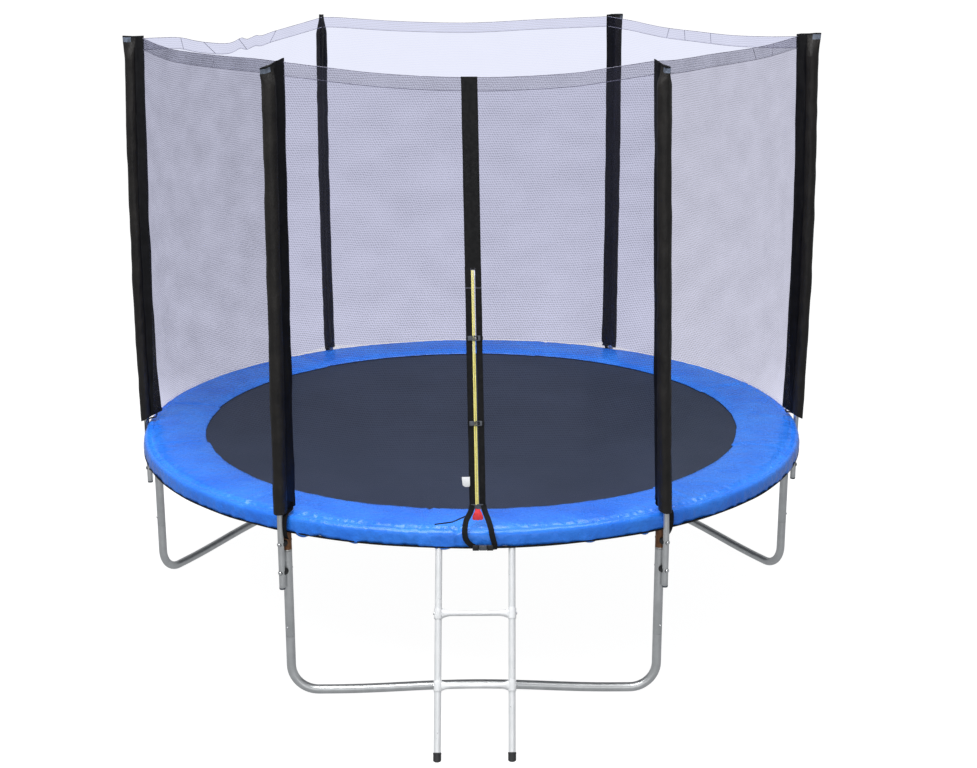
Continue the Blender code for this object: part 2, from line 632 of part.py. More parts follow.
def make_net(ring):
    for i, sag in enumerate(NET_SAG):
        start_at, end_at = (i, i + 1) if i < 4 else (5, 0)
        shape = net_sheet(panel_grid(start_at, end_at, sag))
        add(ring, f"net_panel_{i + 1}", shape, MESH_GREY, roughness=0.7)
    add(ring, "net_front", net_front(), MESH_GREY, roughness=0.7)
    for name, side in (("left", -1), ("right", 1)):
        shape = slab(flap_outline(side), door_normal(), NET_HALF)
        if side > 0:
            shape = carve(shape, *[step for z in CLIP_Z for step in clip_socket(z)])
        hinge = door_hinge(side)[0]
        add(ring, f"door_flap_{name}", shape, BLACK, roughness=0.6, origin=hinge, smooth=False)
    for k, z in enumerate(CLIP_Z):
        at = clip_origin(z)
        add(ring, f"door_clip_{k + 1}", clip_plug(z), BLACK, roughness=0.4, origin=at, smooth=False)
    add(ring, "zip_slider", slider_shape(), RED, roughness=0.5, origin=slider_origin(), smooth=False)


# ---- ladder ----


def ladder_top(side):
    """(the middle of the rail tube over this ladder rail, its angle round the ring in degrees)."""
    x = LADDER_X + side * LADDER_HALF
    y = -math.sqrt(RING_R**2 - x**2)
    return np.array([x, y, RING_Z]), math.degrees(math.atan2(y, x)) % 360


def ladder_axes():
    """(down along a ladder rail, out of the ladder's front)."""
    run = np.array([LADDER_SLANT, -LADDER_FOOT_RUN, -RING_Z])
    down = run / np.linalg.norm(run)
    front = np.cross(down, EAST)
    return down, front / np.linalg.norm(front)


def ladder_hinge():
    """The axis of the ladder's swing: along X through both hooks."""
    y = (ladder_top(-1)[0][1] + ladder_top(1)[0][1]) / 2
    return np.array([LADDER_X, y, RING_Z])


def hook(x):
    """A strip bent round the rail tube, from its inner side over the top to the ladder tube."""
    mid = np.array([x, *ladder_hinge()[1:]])
    corners = ((HOOK_IN, -HOOK_HALF), (HOOK_OUT, -HOOK_HALF), (HOOK_OUT, HOOK_HALF), (HOOK_IN, HOOK_HALF))
    rings = []
    for t in np.radians(np.linspace(HOOK_START, HOOK_END, HOOK_STEPS)):
        ray = math.cos(t) * NORTH + math.sin(t) * UP
        rings.append(np.array([mid + r * ray + w * EAST for r, w in corners]))
    return bar(rings)


def ladder_rail(side):
    down, front = ladder_axes()
    x = LADDER_X + side * LADDER_HALF
    top = np.array([x, ladder_hinge()[1], RING_Z]) + LADDER_TOP * down
    end = foot_point(side) - FOOT_BASE / abs(down[2]) * down
    tube = pipe(*[[circle(c, EAST, front, r, SIDES) for c in (top, end)] for r in (LADDER_R, LADDER_BORE)])
    return carve(tube, ("UNION", hook(x)))


def foot_point(side):
    """Where a ladder rail's axis comes down to the height at which its lower side meets the floor."""
    down, _ = ladder_axes()
    centre = np.array([LADDER_X + side * LADDER_HALF, ladder_hinge()[1], RING_Z])
    return centre + (RING_Z - LADDER_LIFT) / abs(down[2]) * down


def ladder_foot(side):
    """A cap whose bottom is cut flat on the floor."""
    down, front = ladder_axes()
    at = foot_point(side)
    top = at - FOOT_LONG * down
    outside = [circle(top, EAST, front, FOOT_R, SIDES)]
    floor = outside[0] + (-outside[0][:, 2] / down[2])[:, None] * down
    bottom = at - (FOOT_BASE - 2 * JOINT_GAP) / abs(down[2]) * down
    return cup(outside + [floor], [circle(c, EAST, front, FOOT_BORE, SIDES) for c in (top, bottom)])


def ladder_step(z):
    """A tube between the rails that flares into a collar round each of them."""
    down, front = ladder_axes()
    centre = ladder_hinge() + (RING_Z - z) / abs(down[2]) * down
    left = [(-LADDER_HALF + d, tall, deep) for d, tall, deep in STEP_SECTIONS]
    right = [(-x, tall, deep) for x, tall, deep in left[::-1]]
    rings = [circle(centre + x * EAST, d * front, t * down, 1.0, POLE_SIDES) for x, t, d in left + right]
    steps = []
    for side in (-1, 1):
        ends = [centre + side * LADDER_HALF * EAST + s * COLLAR_HALF * down for s in (-1, 1)]
        bore = LADDER_R + JOINT_GAP
        steps.append(("UNION", bar([circle(c, EAST, front, bore + COLLAR_WALL, SIDES) for c in ends])))
        past = [c + s * STEP_PAST * down for c, s in zip(ends, (-1, 1))]
        steps.append(("DIFFERENCE", bar([circle(c, EAST, front, bore, SIDES) for c in past])))
    return carve(bar(rings), *steps)


def make_ladder(ring):
    hinge = ladder_hinge()
    for name, side in (("left", -1), ("right", 1)):
        steel(ring, f"ladder_rail_{name}", ladder_rail(side), origin=hinge)
        add(ring, f"ladder_foot_{name}", ladder_foot(side), BLACK, roughness=0.6, origin=hinge)
    for name, z in zip(("upper", "lower"), STEP_Z):
        add(ring, f"ladder_step_{name}", ladder_step(z), WHITE, roughness=0.4, origin=hinge)


def main():
    ring = start()
    make_frame(ring)
    make_poles(ring)
    add(ring, "jump_mat", mat(), BLACK, roughness=0.8, origin=(0.0, 0.0, MAT_TOP))
    steel(ring, "spring_set", spring_set())
    add(ring, "safety_pad", pad(), BLUE, roughness=0.3)
    make_net(ring)
    make_ladder(ring)


main()
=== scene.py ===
"""The looks of the backyard trampoline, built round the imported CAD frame."""

from math import cos, hypot, pi, radians, sin, sqrt

import bpy
import numpy as np
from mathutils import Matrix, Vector


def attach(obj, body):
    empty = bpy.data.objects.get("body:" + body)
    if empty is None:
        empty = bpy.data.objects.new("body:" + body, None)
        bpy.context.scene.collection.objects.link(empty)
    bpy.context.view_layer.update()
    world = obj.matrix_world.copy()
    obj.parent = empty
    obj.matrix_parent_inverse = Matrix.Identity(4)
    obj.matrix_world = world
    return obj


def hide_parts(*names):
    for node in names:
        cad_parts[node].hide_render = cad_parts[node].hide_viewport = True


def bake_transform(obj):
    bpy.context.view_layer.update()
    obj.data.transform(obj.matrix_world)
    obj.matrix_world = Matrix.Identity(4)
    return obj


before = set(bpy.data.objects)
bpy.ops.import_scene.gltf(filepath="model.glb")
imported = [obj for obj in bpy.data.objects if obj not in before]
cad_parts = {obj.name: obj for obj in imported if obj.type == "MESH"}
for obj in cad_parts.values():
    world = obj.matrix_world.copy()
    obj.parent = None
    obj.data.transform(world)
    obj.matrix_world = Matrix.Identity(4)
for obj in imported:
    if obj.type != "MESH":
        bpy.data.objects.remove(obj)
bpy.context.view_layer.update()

# ---- the part's own dimensions, in metres round the ring's centre ----
LEGS = 6
RING_R, RING_Z, RING_Y = 1.506, 0.757, 0.189
TUBE_R = 0.019
SOCKET_BOTTOM, LEG_JOINT_Z = 0.633, 0.26
BEND_R, FLAT_RUN, ARCH_RISE = 0.11, 0.06, 0.018
POLE_OUT, POLE_R = 0.042, 0.0125
POLE_BOTTOM, POLE_TOP, LEAN_FROM, POLE_RINGS = 0.483, 2.563, 0.7, 6
POLE_LEAN = (  # x, y at the top, and the power of the curve
    (-0.015, 0.0, 1.6), (-0.006, -0.018, 1.6), (0.003, -0.018, 1.6),
    (0.022, 0.0, 1.6), (0.015, 0.004, 1.6), (-0.052, 0.004, 1.0),
)
POLE_BOW = ((0.015, 0.0), (0.005, 0.009), (-0.009, 0.009), (-0.01, 0.0), (0.003, -0.008), (-0.002, 0.0))
POLE_END = 2.47  # where a pole stops inside its closed sleeve
BOLT_Z = (0.552, 0.673)
SLEEVE_R, FLANGE_OUT = 0.028, 0.042
SLEEVE_HANG = ((0.003, 0.0), (0.001, -0.003), (-0.006, -0.003), (0.003, 0.0), (0.002, 0.004), (-0.005, 0.003))
FLANGE_TWIST = (-19, -19, -19, -19, -19, -3)
SLEEVE_BOTTOM, SLEEVE_SLOPE, SLEEVE_TOP = 0.786, 0.55, 2.586
MAT_R, MAT_TOP = 1.31, 0.78
SPRINGS = 54
PAD_IN, PAD_OUT, PAD_TOP, PAD_UNDER = 1.25, 1.534, 0.798, 0.784
NET_TOP, NET_BOTTOM, NET_RIM_R = 2.575, 0.803, 1.5
PLANE_TOP, FRONT_TOP_Y, FRONT_BOTTOM_Y, FRONT_HALF = 2.53, 1.3, 1.5, 0.42
SLIT_TOP_X, SLIT_BOTTOM_X = -0.011, 0.016
APEX_Z, SLIT_BOTTOM_Z = 1.81, 0.895
CLIP_Z = (1.541, 1.211, 0.905)
LADDER_X, LADDER_HALF, LADDER_R = 0.006, 0.143, 0.0135
LADDER_FOOT_RUN, LADDER_SLANT, LADDER_LIFT, LADDER_TOP = 0.386, -0.008, 0.008, 0.0228
HOOK_IN, HOOK_OUT, HOOK_HALF, HOOK_FROM, HOOK_TO = 0.0214, 0.0246, 0.0125, 15, 262
STEP_Z = (0.495, 0.249)
FOOT_R, FOOT_LONG = 0.016, 0.02
EX, EY, UP = np.eye(3)


# ---- small maths ----


def out(angle):
    return np.array([cos(angle), sin(angle), 0.0])


def leg_angle(i):
    return radians(360 / LEGS * i)


def unit(v):
    v = np.asarray(v, float)
    return v / np.linalg.norm(v)


def smooth(t):
    t = np.clip(t, 0.0, 1.0)
    return t * t * (3 - 2 * t)


def noise(u, v, seed, size=97):
    """Smooth value noise from -1 to 1 on a wrapped lattice of unit cells."""
    grid = np.random.RandomState(seed).rand(size, size) * 2 - 1
    u, v = np.broadcast_arrays(np.asarray(u, float), np.asarray(v, float))
    iu, iv = np.floor(u).astype(int), np.floor(v).astype(int)
    fu, fv = smooth(u - iu), smooth(v - iv)
    a, b = grid[iu % size, iv % size], grid[(iu + 1) % size, iv % size]
    c, d = grid[iu % size, (iv + 1) % size], grid[(iu + 1) % size, (iv + 1) % size]
    return (a * (1 - fu) + b * fu) * (1 - fv) + (c * (1 - fu) + d * fu) * fv


def layered(u, v, seed):
    """Three octaves of noise, again from about -1 to 1."""
    return sum(noise(u * 2**k, v * 2**k, seed + k) / 2**k for k in range(3)) / 1.75


def spline(points, count, steps=14):
    """A smooth path through points (Catmull-Rom), evenly sampled."""
    points = np.asarray(points, float)
    p = np.concatenate([[2 * points[0] - points[1]], points, [2 * points[-1] - points[-2]]])
    path = []
    for a, b, c, d in zip(p, p[1:], p[2:], p[3:]):
        for t in np.linspace(0, 1, steps, endpoint=False):
            cubic = (3 * b - a - 3 * c + d) * t**3
            path.append(0.5 * (2 * b + (c - a) * t + (2 * a - 5 * b + 4 * c - d) * t * t + cubic))
    path = np.array([*path, points[-1]])
    s = np.concatenate([[0], np.cumsum(np.linalg.norm(np.diff(path, axis=0), axis=1))])
    at = np.linspace(0, s[-1], count)
    return np.stack([np.interp(at, s, path[:, k]) for k in range(3)], -1)


# ---- meshes ----


def piece(
    name, points, faces, materials, body="frame", slot=None, uv=None, replaces=(), which=None, sharp=40
):
    """One object from points round the ring's centre, riding on its CAD body."""
    mesh = bpy.data.meshes.new(name)
    points = np.asarray(points, float).reshape(-1, 3) + RING_Y * EY
    mesh.from_pydata(points.tolist(), [], [tuple(int(k) for k in f) for f in faces])
    for material in materials:
        mesh.materials.append(M[material])
    if which is not None:
        mesh.polygons.foreach_set("material_index", np.asarray(which, np.int32))
    if uv is not None:
        layer = mesh.uv_layers.new(name="UVMap")
        index = np.empty(len(mesh.loops), np.int32)
        mesh.loops.foreach_get("vertex_index", index)
        layer.data.foreach_set("uv", np.asarray(uv, np.float32).reshape(-1, 2)[index].ravel())
    mesh.update()
    obj = bpy.data.objects.new(name, mesh)
    bpy.context.scene.collection.objects.link(obj)
    mesh.shade_smooth()
    mesh.set_sharp_from_angle(angle=radians(sharp))
    if replaces:
        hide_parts(*replaces)
    if body:
        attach(obj, body)
    return obj


def grid_faces(rows, cols, wrap_rows=False, wrap_cols=False, start=0):
    r = np.arange(rows if wrap_rows else rows - 1)
    c = np.arange(cols if wrap_cols else cols - 1)
    r, c = np.meshgrid(r, c, indexing="ij")
    r2, c2 = (r + 1) % rows, (c + 1) % cols
    quads = np.stack([r * cols + c, r * cols + c2, r2 * cols + c2, r2 * cols + c], -1)
    return (quads.reshape(-1, 4) + start).tolist()


def ring_points(centre, u, v, radius, sides):
    turn = np.arange(sides) * 2 * np.pi / sides
    return np.asarray(centre) + radius * (np.cos(turn)[:, None] * u + np.sin(turn)[:, None] * v)


def signed_volume(points, faces):
    p = np.asarray(points, float) - np.mean(points, axis=0)
    tri = np.array([(f[0], a, b) for f in faces for a, b in zip(f[1:-1], f[2:])], int)
    return float(np.einsum("ij,ij->i", p[tri[:, 0]], np.cross(p[tri[:, 1]], p[tri[:, 2]])).sum())


class Build:
    """Collects several closed shapes into one mesh, each with its own material number."""

    def __init__(self):
        self.points, self.faces, self.which = [], [], []

    def add(self, points, faces, slot=0):
        start = sum(len(p) for p in self.points)
        points = np.asarray(points, float).reshape(-1, 3)
        if signed_volume(points, faces) < 0:
            faces = [tuple(f)[::-1] for f in faces]
        self.points.append(points)
        self.faces += [tuple(int(k) + start for k in f) for f in faces]
        self.which += [slot] * len(faces) if isinstance(slot, int) else list(slot)

    def sweep(self, rings, slot=0, closed=False):
        """Skins a list of equal rings; the caps are fans round their middles."""
        n, m = len(rings[0]), len(rings)
        faces = grid_faces(m, n, wrap_rows=closed, wrap_cols=True)
        points = np.concatenate(rings)
        if not closed:
            points = np.concatenate([points, [np.mean(rings[0], axis=0), np.mean(rings[-1], axis=0)]])
            faces += [(m * n, (k + 1) % n, k) for k in range(n)]
            faces += [(m * n + 1, (m - 1) * n + k, (m - 1) * n + (k + 1) % n) for k in range(n)]
        self.add(points, faces, slot)

    def make(self, name, materials, **more):
        return piece(name, np.concatenate(self.points), self.faces, materials, which=self.which, **more)


def tube_rings(path, radius, sides, side, closed=False):
    """Rings along a path, turned so that their first point stays towards side."""
    path = np.asarray(path, float)
    tangents = np.roll(path, -1, 0) - np.roll(path, 1, 0) if closed else np.gradient(path, axis=0)
    u, rings = side, []
    for p, t, r in zip(path, tangents, np.broadcast_to(radius, len(path))):
        t = unit(t)
        u = side if closed else u
        u = unit(u - (u @ t) * t)
        rings.append(ring_points(p, u, np.cross(t, u), r, sides))
    return rings


def lathe(at, axis, profile, sides, u=None):
    """Rings round an axis from (distance along it, radius) pairs."""
    u = unit(np.cross(axis, unit((0.1, 0.3, 0.9)))) if u is None else u
    return [ring_points(at + h * axis, u, np.cross(axis, u), r, sides) for h, r in profile]


def ribbon(path, across, width, thick):
    """A flat strap's rings, their corners rounded a little."""
    path = np.asarray(path, float)
    w, h, e = width / 2, thick / 2, min(thick * 0.45, width * 0.1)
    corner = [(-w, e - h), (e - w, -h), (w - e, -h), (w, e - h)]
    corner += [(-x, -y) for x, y in corner]
    rings = []
    for p, a, t in zip(path, np.broadcast_to(across, path.shape), np.gradient(path, axis=0)):
        t = unit(t)
        a = unit(a - (a @ t) * t)
        rings.append(np.array([p + x * a + y * np.cross(a, t) for x, y in corner]))
    return rings


def block(centre, sizes, axes, bevel):
    """Rings of a rounded block, along its third axis."""
    u, v, w = axes
    a, b, c = (s / 2 for s in sizes)
    ends = [(-c, bevel), (-c + bevel * 0.3, bevel * 0.3), (-c + bevel, 0)]
    rings = []
    for height, inset in ends + [(-h, i) for h, i in ends[::-1]]:
        x, y, r = a - inset, b - inset, min(bevel * 1.5, a * 0.6, b * 0.6)
        outline = []
        for sx, sy, start in ((1, 1, 0), (-1, 1, 90), (-1, -1, 180), (1, -1, 270)):
            for t in np.radians(np.linspace(start, start + 90, 4)):
                outline.append((sx * (x - r) + r * cos(t), sy * (y - r) + r * sin(t)))
        rings.append(np.array([centre + p * u + q * v + height * w for p, q in outline]))
    return rings


# ---- materials ----


class Shader:
    """A Principled material and a few ways to vary it."""

    def __init__(self, name, colour, rough, sockets):
        self.m = bpy.data.materials.new(name)
        self.m.use_nodes = True
        self.nodes, self.links = self.m.node_tree.nodes, self.m.node_tree.links
        self.p = self.nodes["Principled BSDF"]
        self.p.inputs["Base Color"].default_value = (*colour, 1)
        self.p.inputs["Roughness"].default_value = rough
        for key, value in sockets.items():
            self.p.inputs[key].default_value = value
        self.height = None
        self.where = self.nodes.new("ShaderNodeTexCoord").outputs["Object"]

    def node(self, kind, *inputs, **values):
        """A node, its settings in small letters, and its inputs: a value is set, an output is linked."""
        n = self.nodes.new(kind)
        for key in [key for key in values if key.islower()]:
            setattr(n, key, values.pop(key))
        for key, value in [*enumerate(inputs), *values.items()]:
            if isinstance(value, bpy.types.NodeSocket):
                self.links.new(value, n.inputs[key])
            else:
                n.inputs[key].default_value = value
        return n

    def math(self, operation, *values):
        return self.node("ShaderNodeMath", *values, operation=operation).outputs[0]

    def pattern(self, kind, scale, stretch=(1, 1, 1), where=None):
        """The factor of a noise, or of a wave along an axis."""
        at = self.node("ShaderNodeMapping", where or self.where, Scale=stretch).outputs[0]
        if kind == "noise":
            return self.node("ShaderNodeTexNoise", Vector=at, Scale=scale, Detail=4.0).outputs["Fac"]
        return self.node("ShaderNodeTexWave", Vector=at, Scale=scale, bands_direction=kind).outputs["Fac"]

    def vary_colour(self, fac, low, high):
        ramp = self.node("ShaderNodeValToRGB", fac)
        for element, place, colour in zip(ramp.color_ramp.elements, (0.32, 0.68), (low, high)):
            element.position, element.color = place, (*colour, 1)
        self.links.new(ramp.outputs["Color"], self.p.inputs["Base Color"])

    def vary_rough(self, fac, low, high):
        n = self.node("ShaderNodeMapRange", fac, 0, 1, low, high)
        self.links.new(n.outputs["Result"], self.p.inputs["Roughness"])

    def bump(self, fac, distance, strength):
        below = {"Normal": self.height} if self.height else {}
        n = self.node("ShaderNodeBump", Height=fac, Distance=distance, Strength=strength, **below)
        self.height = n.outputs["Normal"]
        self.links.new(self.height, self.p.inputs["Normal"])


# a relief is its kind, scale, depth, strength and perhaps its stretch along z
WOVEN = [("X", 620, 0.0003, 0.6), ("Z", 620, 0.0004, 0.7)]
GRAIN = [("noise", 1300, 6e-5, 1)]
LOOKS = {  # (dark, light, scale), (smoothest, roughest, scale), reliefs, sockets
    "zinc": (
        ((0.62, 0.635, 0.64), (0.72, 0.735, 0.74), 26), (0.3, 0.44, 90),
        [("noise", 420, 0.00012, 1, 0.12)], {"Metallic": 0.8},
    ),
    # galvanised steel like the frame's, made near-white on the ladder rails: painted highlight for the light
    # blown out on them
    "ladder": (
        ((0.9, 0.92, 0.93), (0.97, 0.98, 0.99), 22), (0.24, 0.36, 90),
        [("noise", 420, 0.0001, 1, 0.12)], {"Metallic": 0.35},
    ),
    "bolt": (
        ((0.7, 0.71, 0.72), (0.8, 0.81, 0.82), 200), (0.16, 0.34, 300),
        [("noise", 900, 5e-5, 1)], {"Metallic": 1},
    ),
    "copper": (
        ((0.14, 0.06, 0.028), (0.28, 0.135, 0.065), 60), (0.38, 0.52, 120),
        [("noise", 300, 0.0002, 1)], {"Metallic": 0.55},
    ),
    "weld": (
        ((0.5, 0.5, 0.49), (0.64, 0.64, 0.63), 180), (0.26, 0.42, 150),
        [("noise", 260, 0.0006, 1)], {"Metallic": 1},
    ),
    "cover": (
        ((0.0075, 0.0068, 0.0066), (0.016, 0.0142, 0.013), 12), (0.38, 0.56, 26),
        [("noise", 42, 0.005, 0.8, 0.6), ("noise", 130, 0.0016, 0.7, 0.5)], {"Specular IOR Level": 0.3},
    ),
    # near-black: the pole straps' and tie band's own colour; on a sleeve's flange it is a darker copy of the
    # cover, painted shade of the fold beside the pole
    "flange": (
        ((0.0035, 0.0035, 0.0045), (0.0075, 0.0075, 0.009), 20), (0.34, 0.55, 30),
        [("noise", 60, 0.0022, 0.6, 0.4)], {"Specular IOR Level": 0.18},
    ),
    # a grey-blue copy of the sleeve's black, on a band under the top seam: painted highlight of light
    # catching the fold
    "fold": (((0.05, 0.06, 0.08), (0.15, 0.18, 0.24), 60), (0.3, 0.45, 80), [("noise", 120, 0.001, 0.6)], {}),
    "tape": (
        ((0.006, 0.006, 0.007), (0.014, 0.014, 0.015), 70), (0.55, 0.7, 90),
        WOVEN, {"Specular IOR Level": 0.25},
    ),
    "mat": (
        ((0.03, 0.0435, 0.071), (0.039, 0.054, 0.087), 2.2), (0.55, 0.68, 6),
        [("X", 260, 0.0004, 0.8), ("Y", 260, 0.0004, 0.8), ("noise", 9, 0.0015, 0.3)],
        {"Specular IOR Level": 0.25},
    ),
    "pad": (
        ((0.02, 0.19, 0.84), (0.036, 0.265, 0.96), 5), (0.2, 0.36, 30),
        [("noise", 34, 0.005, 0.8), ("noise", 120, 0.0016, 0.7)],
        {"Specular IOR Level": 0.4, "Coat Weight": 0.2, "Coat Roughness": 0.14},
    ),
    "under": (
        ((0.016, 0.017, 0.02), (0.026, 0.027, 0.031), 40), (0.6, 0.8, 50),
        [("noise", 60, 0.002, 0.5)], {},
    ),
    "plastic": (((0.008, 0.008, 0.009), (0.014, 0.014, 0.015), 90), (0.34, 0.52, 180), GRAIN, {}),
    "grey": (((0.06, 0.068, 0.084), (0.1, 0.11, 0.13), 90), (0.3, 0.46, 180), GRAIN, {}),
    "yellow": (((0.9, 0.8, 0.2), (1, 0.93, 0.36), 120), (0.5, 0.62, 150), [("Z", 900, 0.0002, 0.6)], {}),
    "red": (((0.86, 0.02, 0.035), (1, 0.08, 0.09), 90), (0.44, 0.58, 150), [("X", 800, 0.0003, 0.6)], {}),
    "white": (
        ((0.8, 0.81, 0.82), (0.9, 0.91, 0.92), 20), (0.26, 0.38, 60),
        [("noise", 420, 8e-5, 1)], {"Coat Weight": 0.4},
    ),
    "label": (((0.78, 0.79, 0.82), (0.88, 0.89, 0.9), 60), (0.55, 0.68, 90), [("noise", 400, 0.0001, 1)], {}),
    "rubber": (
        ((0.018, 0.019, 0.021), (0.032, 0.033, 0.035), 60), (0.52, 0.72, 150),
        [("noise", 800, 0.0001, 1)], {},
    ),
    "cord": (((0.16, 0.16, 0.22), (0.3, 0.29, 0.38), 60), (0.6, 0.75, 90), [("noise", 500, 0.0003, 1)], {}),
}
THREAD = (0.03, 0.031, 0.045)
NETS = {  # share covered, what is left of it at the foot, tint let through, weights of stitches and rows
    "net_front": (0.39, 0.1, (0.905, 0.897, 0.99), 0.55, 0.6),
    "net_near_left": (0.51, 0.18, (0.92, 0.91, 0.98), 0.9, 0.4),
    "net_near_right": (0.385, 0.18, (0.97, 0.95, 0.985), 0.9, 0.4),
    "net_far": (0.07, 1, (0.84, 0.86, 1), 0.6, 0.9),
    "net_drop": (0.08, 0.1, (0.97, 0.97, 1), 0.3, 0.3),
    "hem_near_left": (0.36, 1, (0.96, 0.97, 1), 0.9, 0.6),
    "hem_near_right": (0.27, 1, (0.96, 0.97, 1), 0.9, 0.6),
    "hem_front": (0.13, 1, (1, 1, 0.98), 0.6, 0.9),
    "hem_far": (0.15, 1, (0.95, 0.95, 1), 0.6, 0.9),
}
FOOT_FROM, FOOT_TO = 0.86, 1.26  # the heights between which a net opens up
STITCH, STITCH_SLANT = 0.0088, 0.35  # the pitch of the net, and how far a stitch leans across one row


def plain_material(name, colours, rough, relief, sockets):
    """A surface whose colour, gloss and relief all vary."""
    low, high, scale = colours
    s = Shader(name, low, rough[0], sockets)
    s.vary_colour(s.pattern("noise", scale), low, high)
    s.vary_rough(s.pattern("noise", rough[2]), *rough[:2])
    for kind, size, depth, strength, *stretch in relief:
        s.bump(s.pattern(kind, size, (1, 1, *(stretch or [1]))), depth, strength)
    return s.m


def net_material(name, share, foot, tint, stitches, rows):
    """A see-through veil of knitted thread, on the panel's own UV in metres."""
    s = Shader(name, THREAD, 0.8, {"Specular IOR Level": 0.1})
    uv = s.node("ShaderNodeUVMap", uv_map="UVMap").outputs["UV"]
    bend = s.node("ShaderNodeTexNoise", Vector=uv, Scale=22.0, Detail=3.0).outputs["Color"]
    shift = s.node("ShaderNodeVectorMath", bend, Scale=0.01, operation="SCALE").outputs[0]
    moved = s.node("ShaderNodeVectorMath", uv, shift, operation="ADD").outputs[0]
    x, y, _ = s.node("ShaderNodeSeparateXYZ", moved).outputs
    row = s.math("DIVIDE", y, STITCH)
    in_row = s.math("FRACT", row)
    lean = s.math("MULTIPLY_ADD", s.math("FLOOR", row), 0.5, s.math("MULTIPLY", in_row, STITCH_SLANT))
    stitch = s.math("FRACT", s.math("ADD", s.math("DIVIDE", x, STITCH), lean))
    knit = 1.0 - 0.3 * (stitches + rows)
    for cell, weight in ((stitch, stitches), (in_row, rows)):
        away = s.math("ABSOLUTE", s.math("SUBTRACT", cell, 0.5))
        mask = s.math("SMOOTH_MAX", s.math("SUBTRACT", 1.0, s.math("MULTIPLY", away, 4.0)), 0.0, 0.2)
        knit = s.math("MULTIPLY_ADD", mask, weight, knit)
    streak, broad = (s.pattern("noise", 1.0, stretch, uv) for stretch in ((160, 320, 1), (5, 9, 1)))
    uneven = s.math("MULTIPLY_ADD", streak, 1.1, s.math("MULTIPLY_ADD", broad, 0.5, 0.2))
    height = s.node("ShaderNodeSeparateXYZ", s.where).outputs["Z"]
    limits = (FOOT_FROM, FOOT_TO, foot, 1.0)
    opened = s.node("ShaderNodeMapRange", height, *limits, interpolation_type="SMOOTHSTEP").outputs[0]
    cover = s.math("MULTIPLY", s.math("MULTIPLY", s.math("MULTIPLY", knit, uneven), share), opened)
    clear = s.node("ShaderNodeBsdfTransparent", (*tint, 1)).outputs[0]
    mix = s.node("ShaderNodeMixShader", s.math("MINIMUM", cover, 1.0), clear, s.p.outputs[0])
    s.links.new(mix.outputs[0], s.nodes["Material Output"].inputs["Surface"])
    return s.m


def glow_material(name, colour, strength):
    """A pale matt surface that also gives a little light of its own."""
    s = Shader(name, colour, 0.9, {"Emission Color": (1, 1, 1, 1), "Emission Strength": strength})
    s.vary_colour(s.pattern("noise", 0.6), [0.97 * c for c in colour], colour)
    return s.m


M = {name: plain_material(name, *look) for name, look in LOOKS.items()}
M.update({name: net_material(name, *look) for name, look in NETS.items()})


# ---- steel frame ----

SOCKET_RING = ((0.0005, 0.019), (0.002, 0.0196), (0.006, 0.0196), (0.008, 0.019))
SCREW = (  # (height, share of the radius)
    (-0.003, 1.3), (0.0002, 1.3), (0.001, 1.25), (0.0011, 1.0), (0.0024, 0.96), (0.0034, 0.74), (0.004, 0.35),
)
BEAD_R, BEAD_OUT = 0.0028, 0.0196  # the weld bead round a socket
STEEL = "galvanised_steel"


def make_rails():
    """The ring's six tubes, the copper-coloured sockets and the weld beads."""
    for i in range(LEGS):
        b = Build()
        a = leg_angle(i)
        path = [RING_R * out(a + t) + RING_Z * UP for t in np.radians(np.linspace(-29.98, 29.98, 61))]
        b.sweep(tube_rings(path, TUBE_R, 28, UP))
        at = RING_R * out(a)
        b.sweep(lathe(at + SOCKET_BOTTOM * UP, UP, SOCKET_RING, 28, EX), 2)
        stem = [(SOCKET_BOTTOM + SOCKET_RING[-1][0], TUBE_R), (RING_Z - 0.012, TUBE_R)]
        b.sweep(lathe(at, UP, stem, 28, EX), 1)
        bead = []
        for t in np.arange(36) * 2 * np.pi / 36:
            across = abs(cos(t - a)) * TUBE_R
            low = RING_Z - sqrt(max(0, TUBE_R**2 - across**2)) - 0.0012
            bead.append(at + BEAD_OUT * out(t) + low * UP)
        b.sweep(tube_rings(bead, BEAD_R, 8, UP, closed=True), 2, closed=True)
        b.make(f"rail_{i + 1}", ["zinc", "copper", "weld"], slot=STEEL, replaces=[f"top_rail_{i + 1}"])


def screw(b, at, outward, radius, slot):
    """A pan-head screw with a washer, standing on a tube."""
    b.sweep(lathe(at, outward, [(h, radius * k) for h, k in SCREW], 16), slot)


def base_path(a, c):
    """The middle of a base tube: down a leg, round a bend, along the floor and up again."""
    along, length = unit(c - a), np.linalg.norm(c - a)
    side = [a + z * UP for z in np.linspace(LEG_JOINT_Z, TUBE_R + BEND_R, 6)]
    for t in np.linspace(0, pi / 2, 15)[1:]:
        side.append(a + BEND_R * (1 - cos(t)) * along + (TUBE_R + BEND_R * (1 - sin(t))) * UP)
    run = length - 2 * (BEND_R + FLAT_RUN)
    middle = [
        a + (BEND_R + FLAT_RUN + run * s) * along + (TUBE_R + ARCH_RISE * sin(pi * s) ** 2) * UP
        for s in np.linspace(0, 1, 33)
    ]
    back = [a + c - p + 2 * (p @ UP) * UP for p in side[::-1]]
    return np.array([*side, *middle, *back])


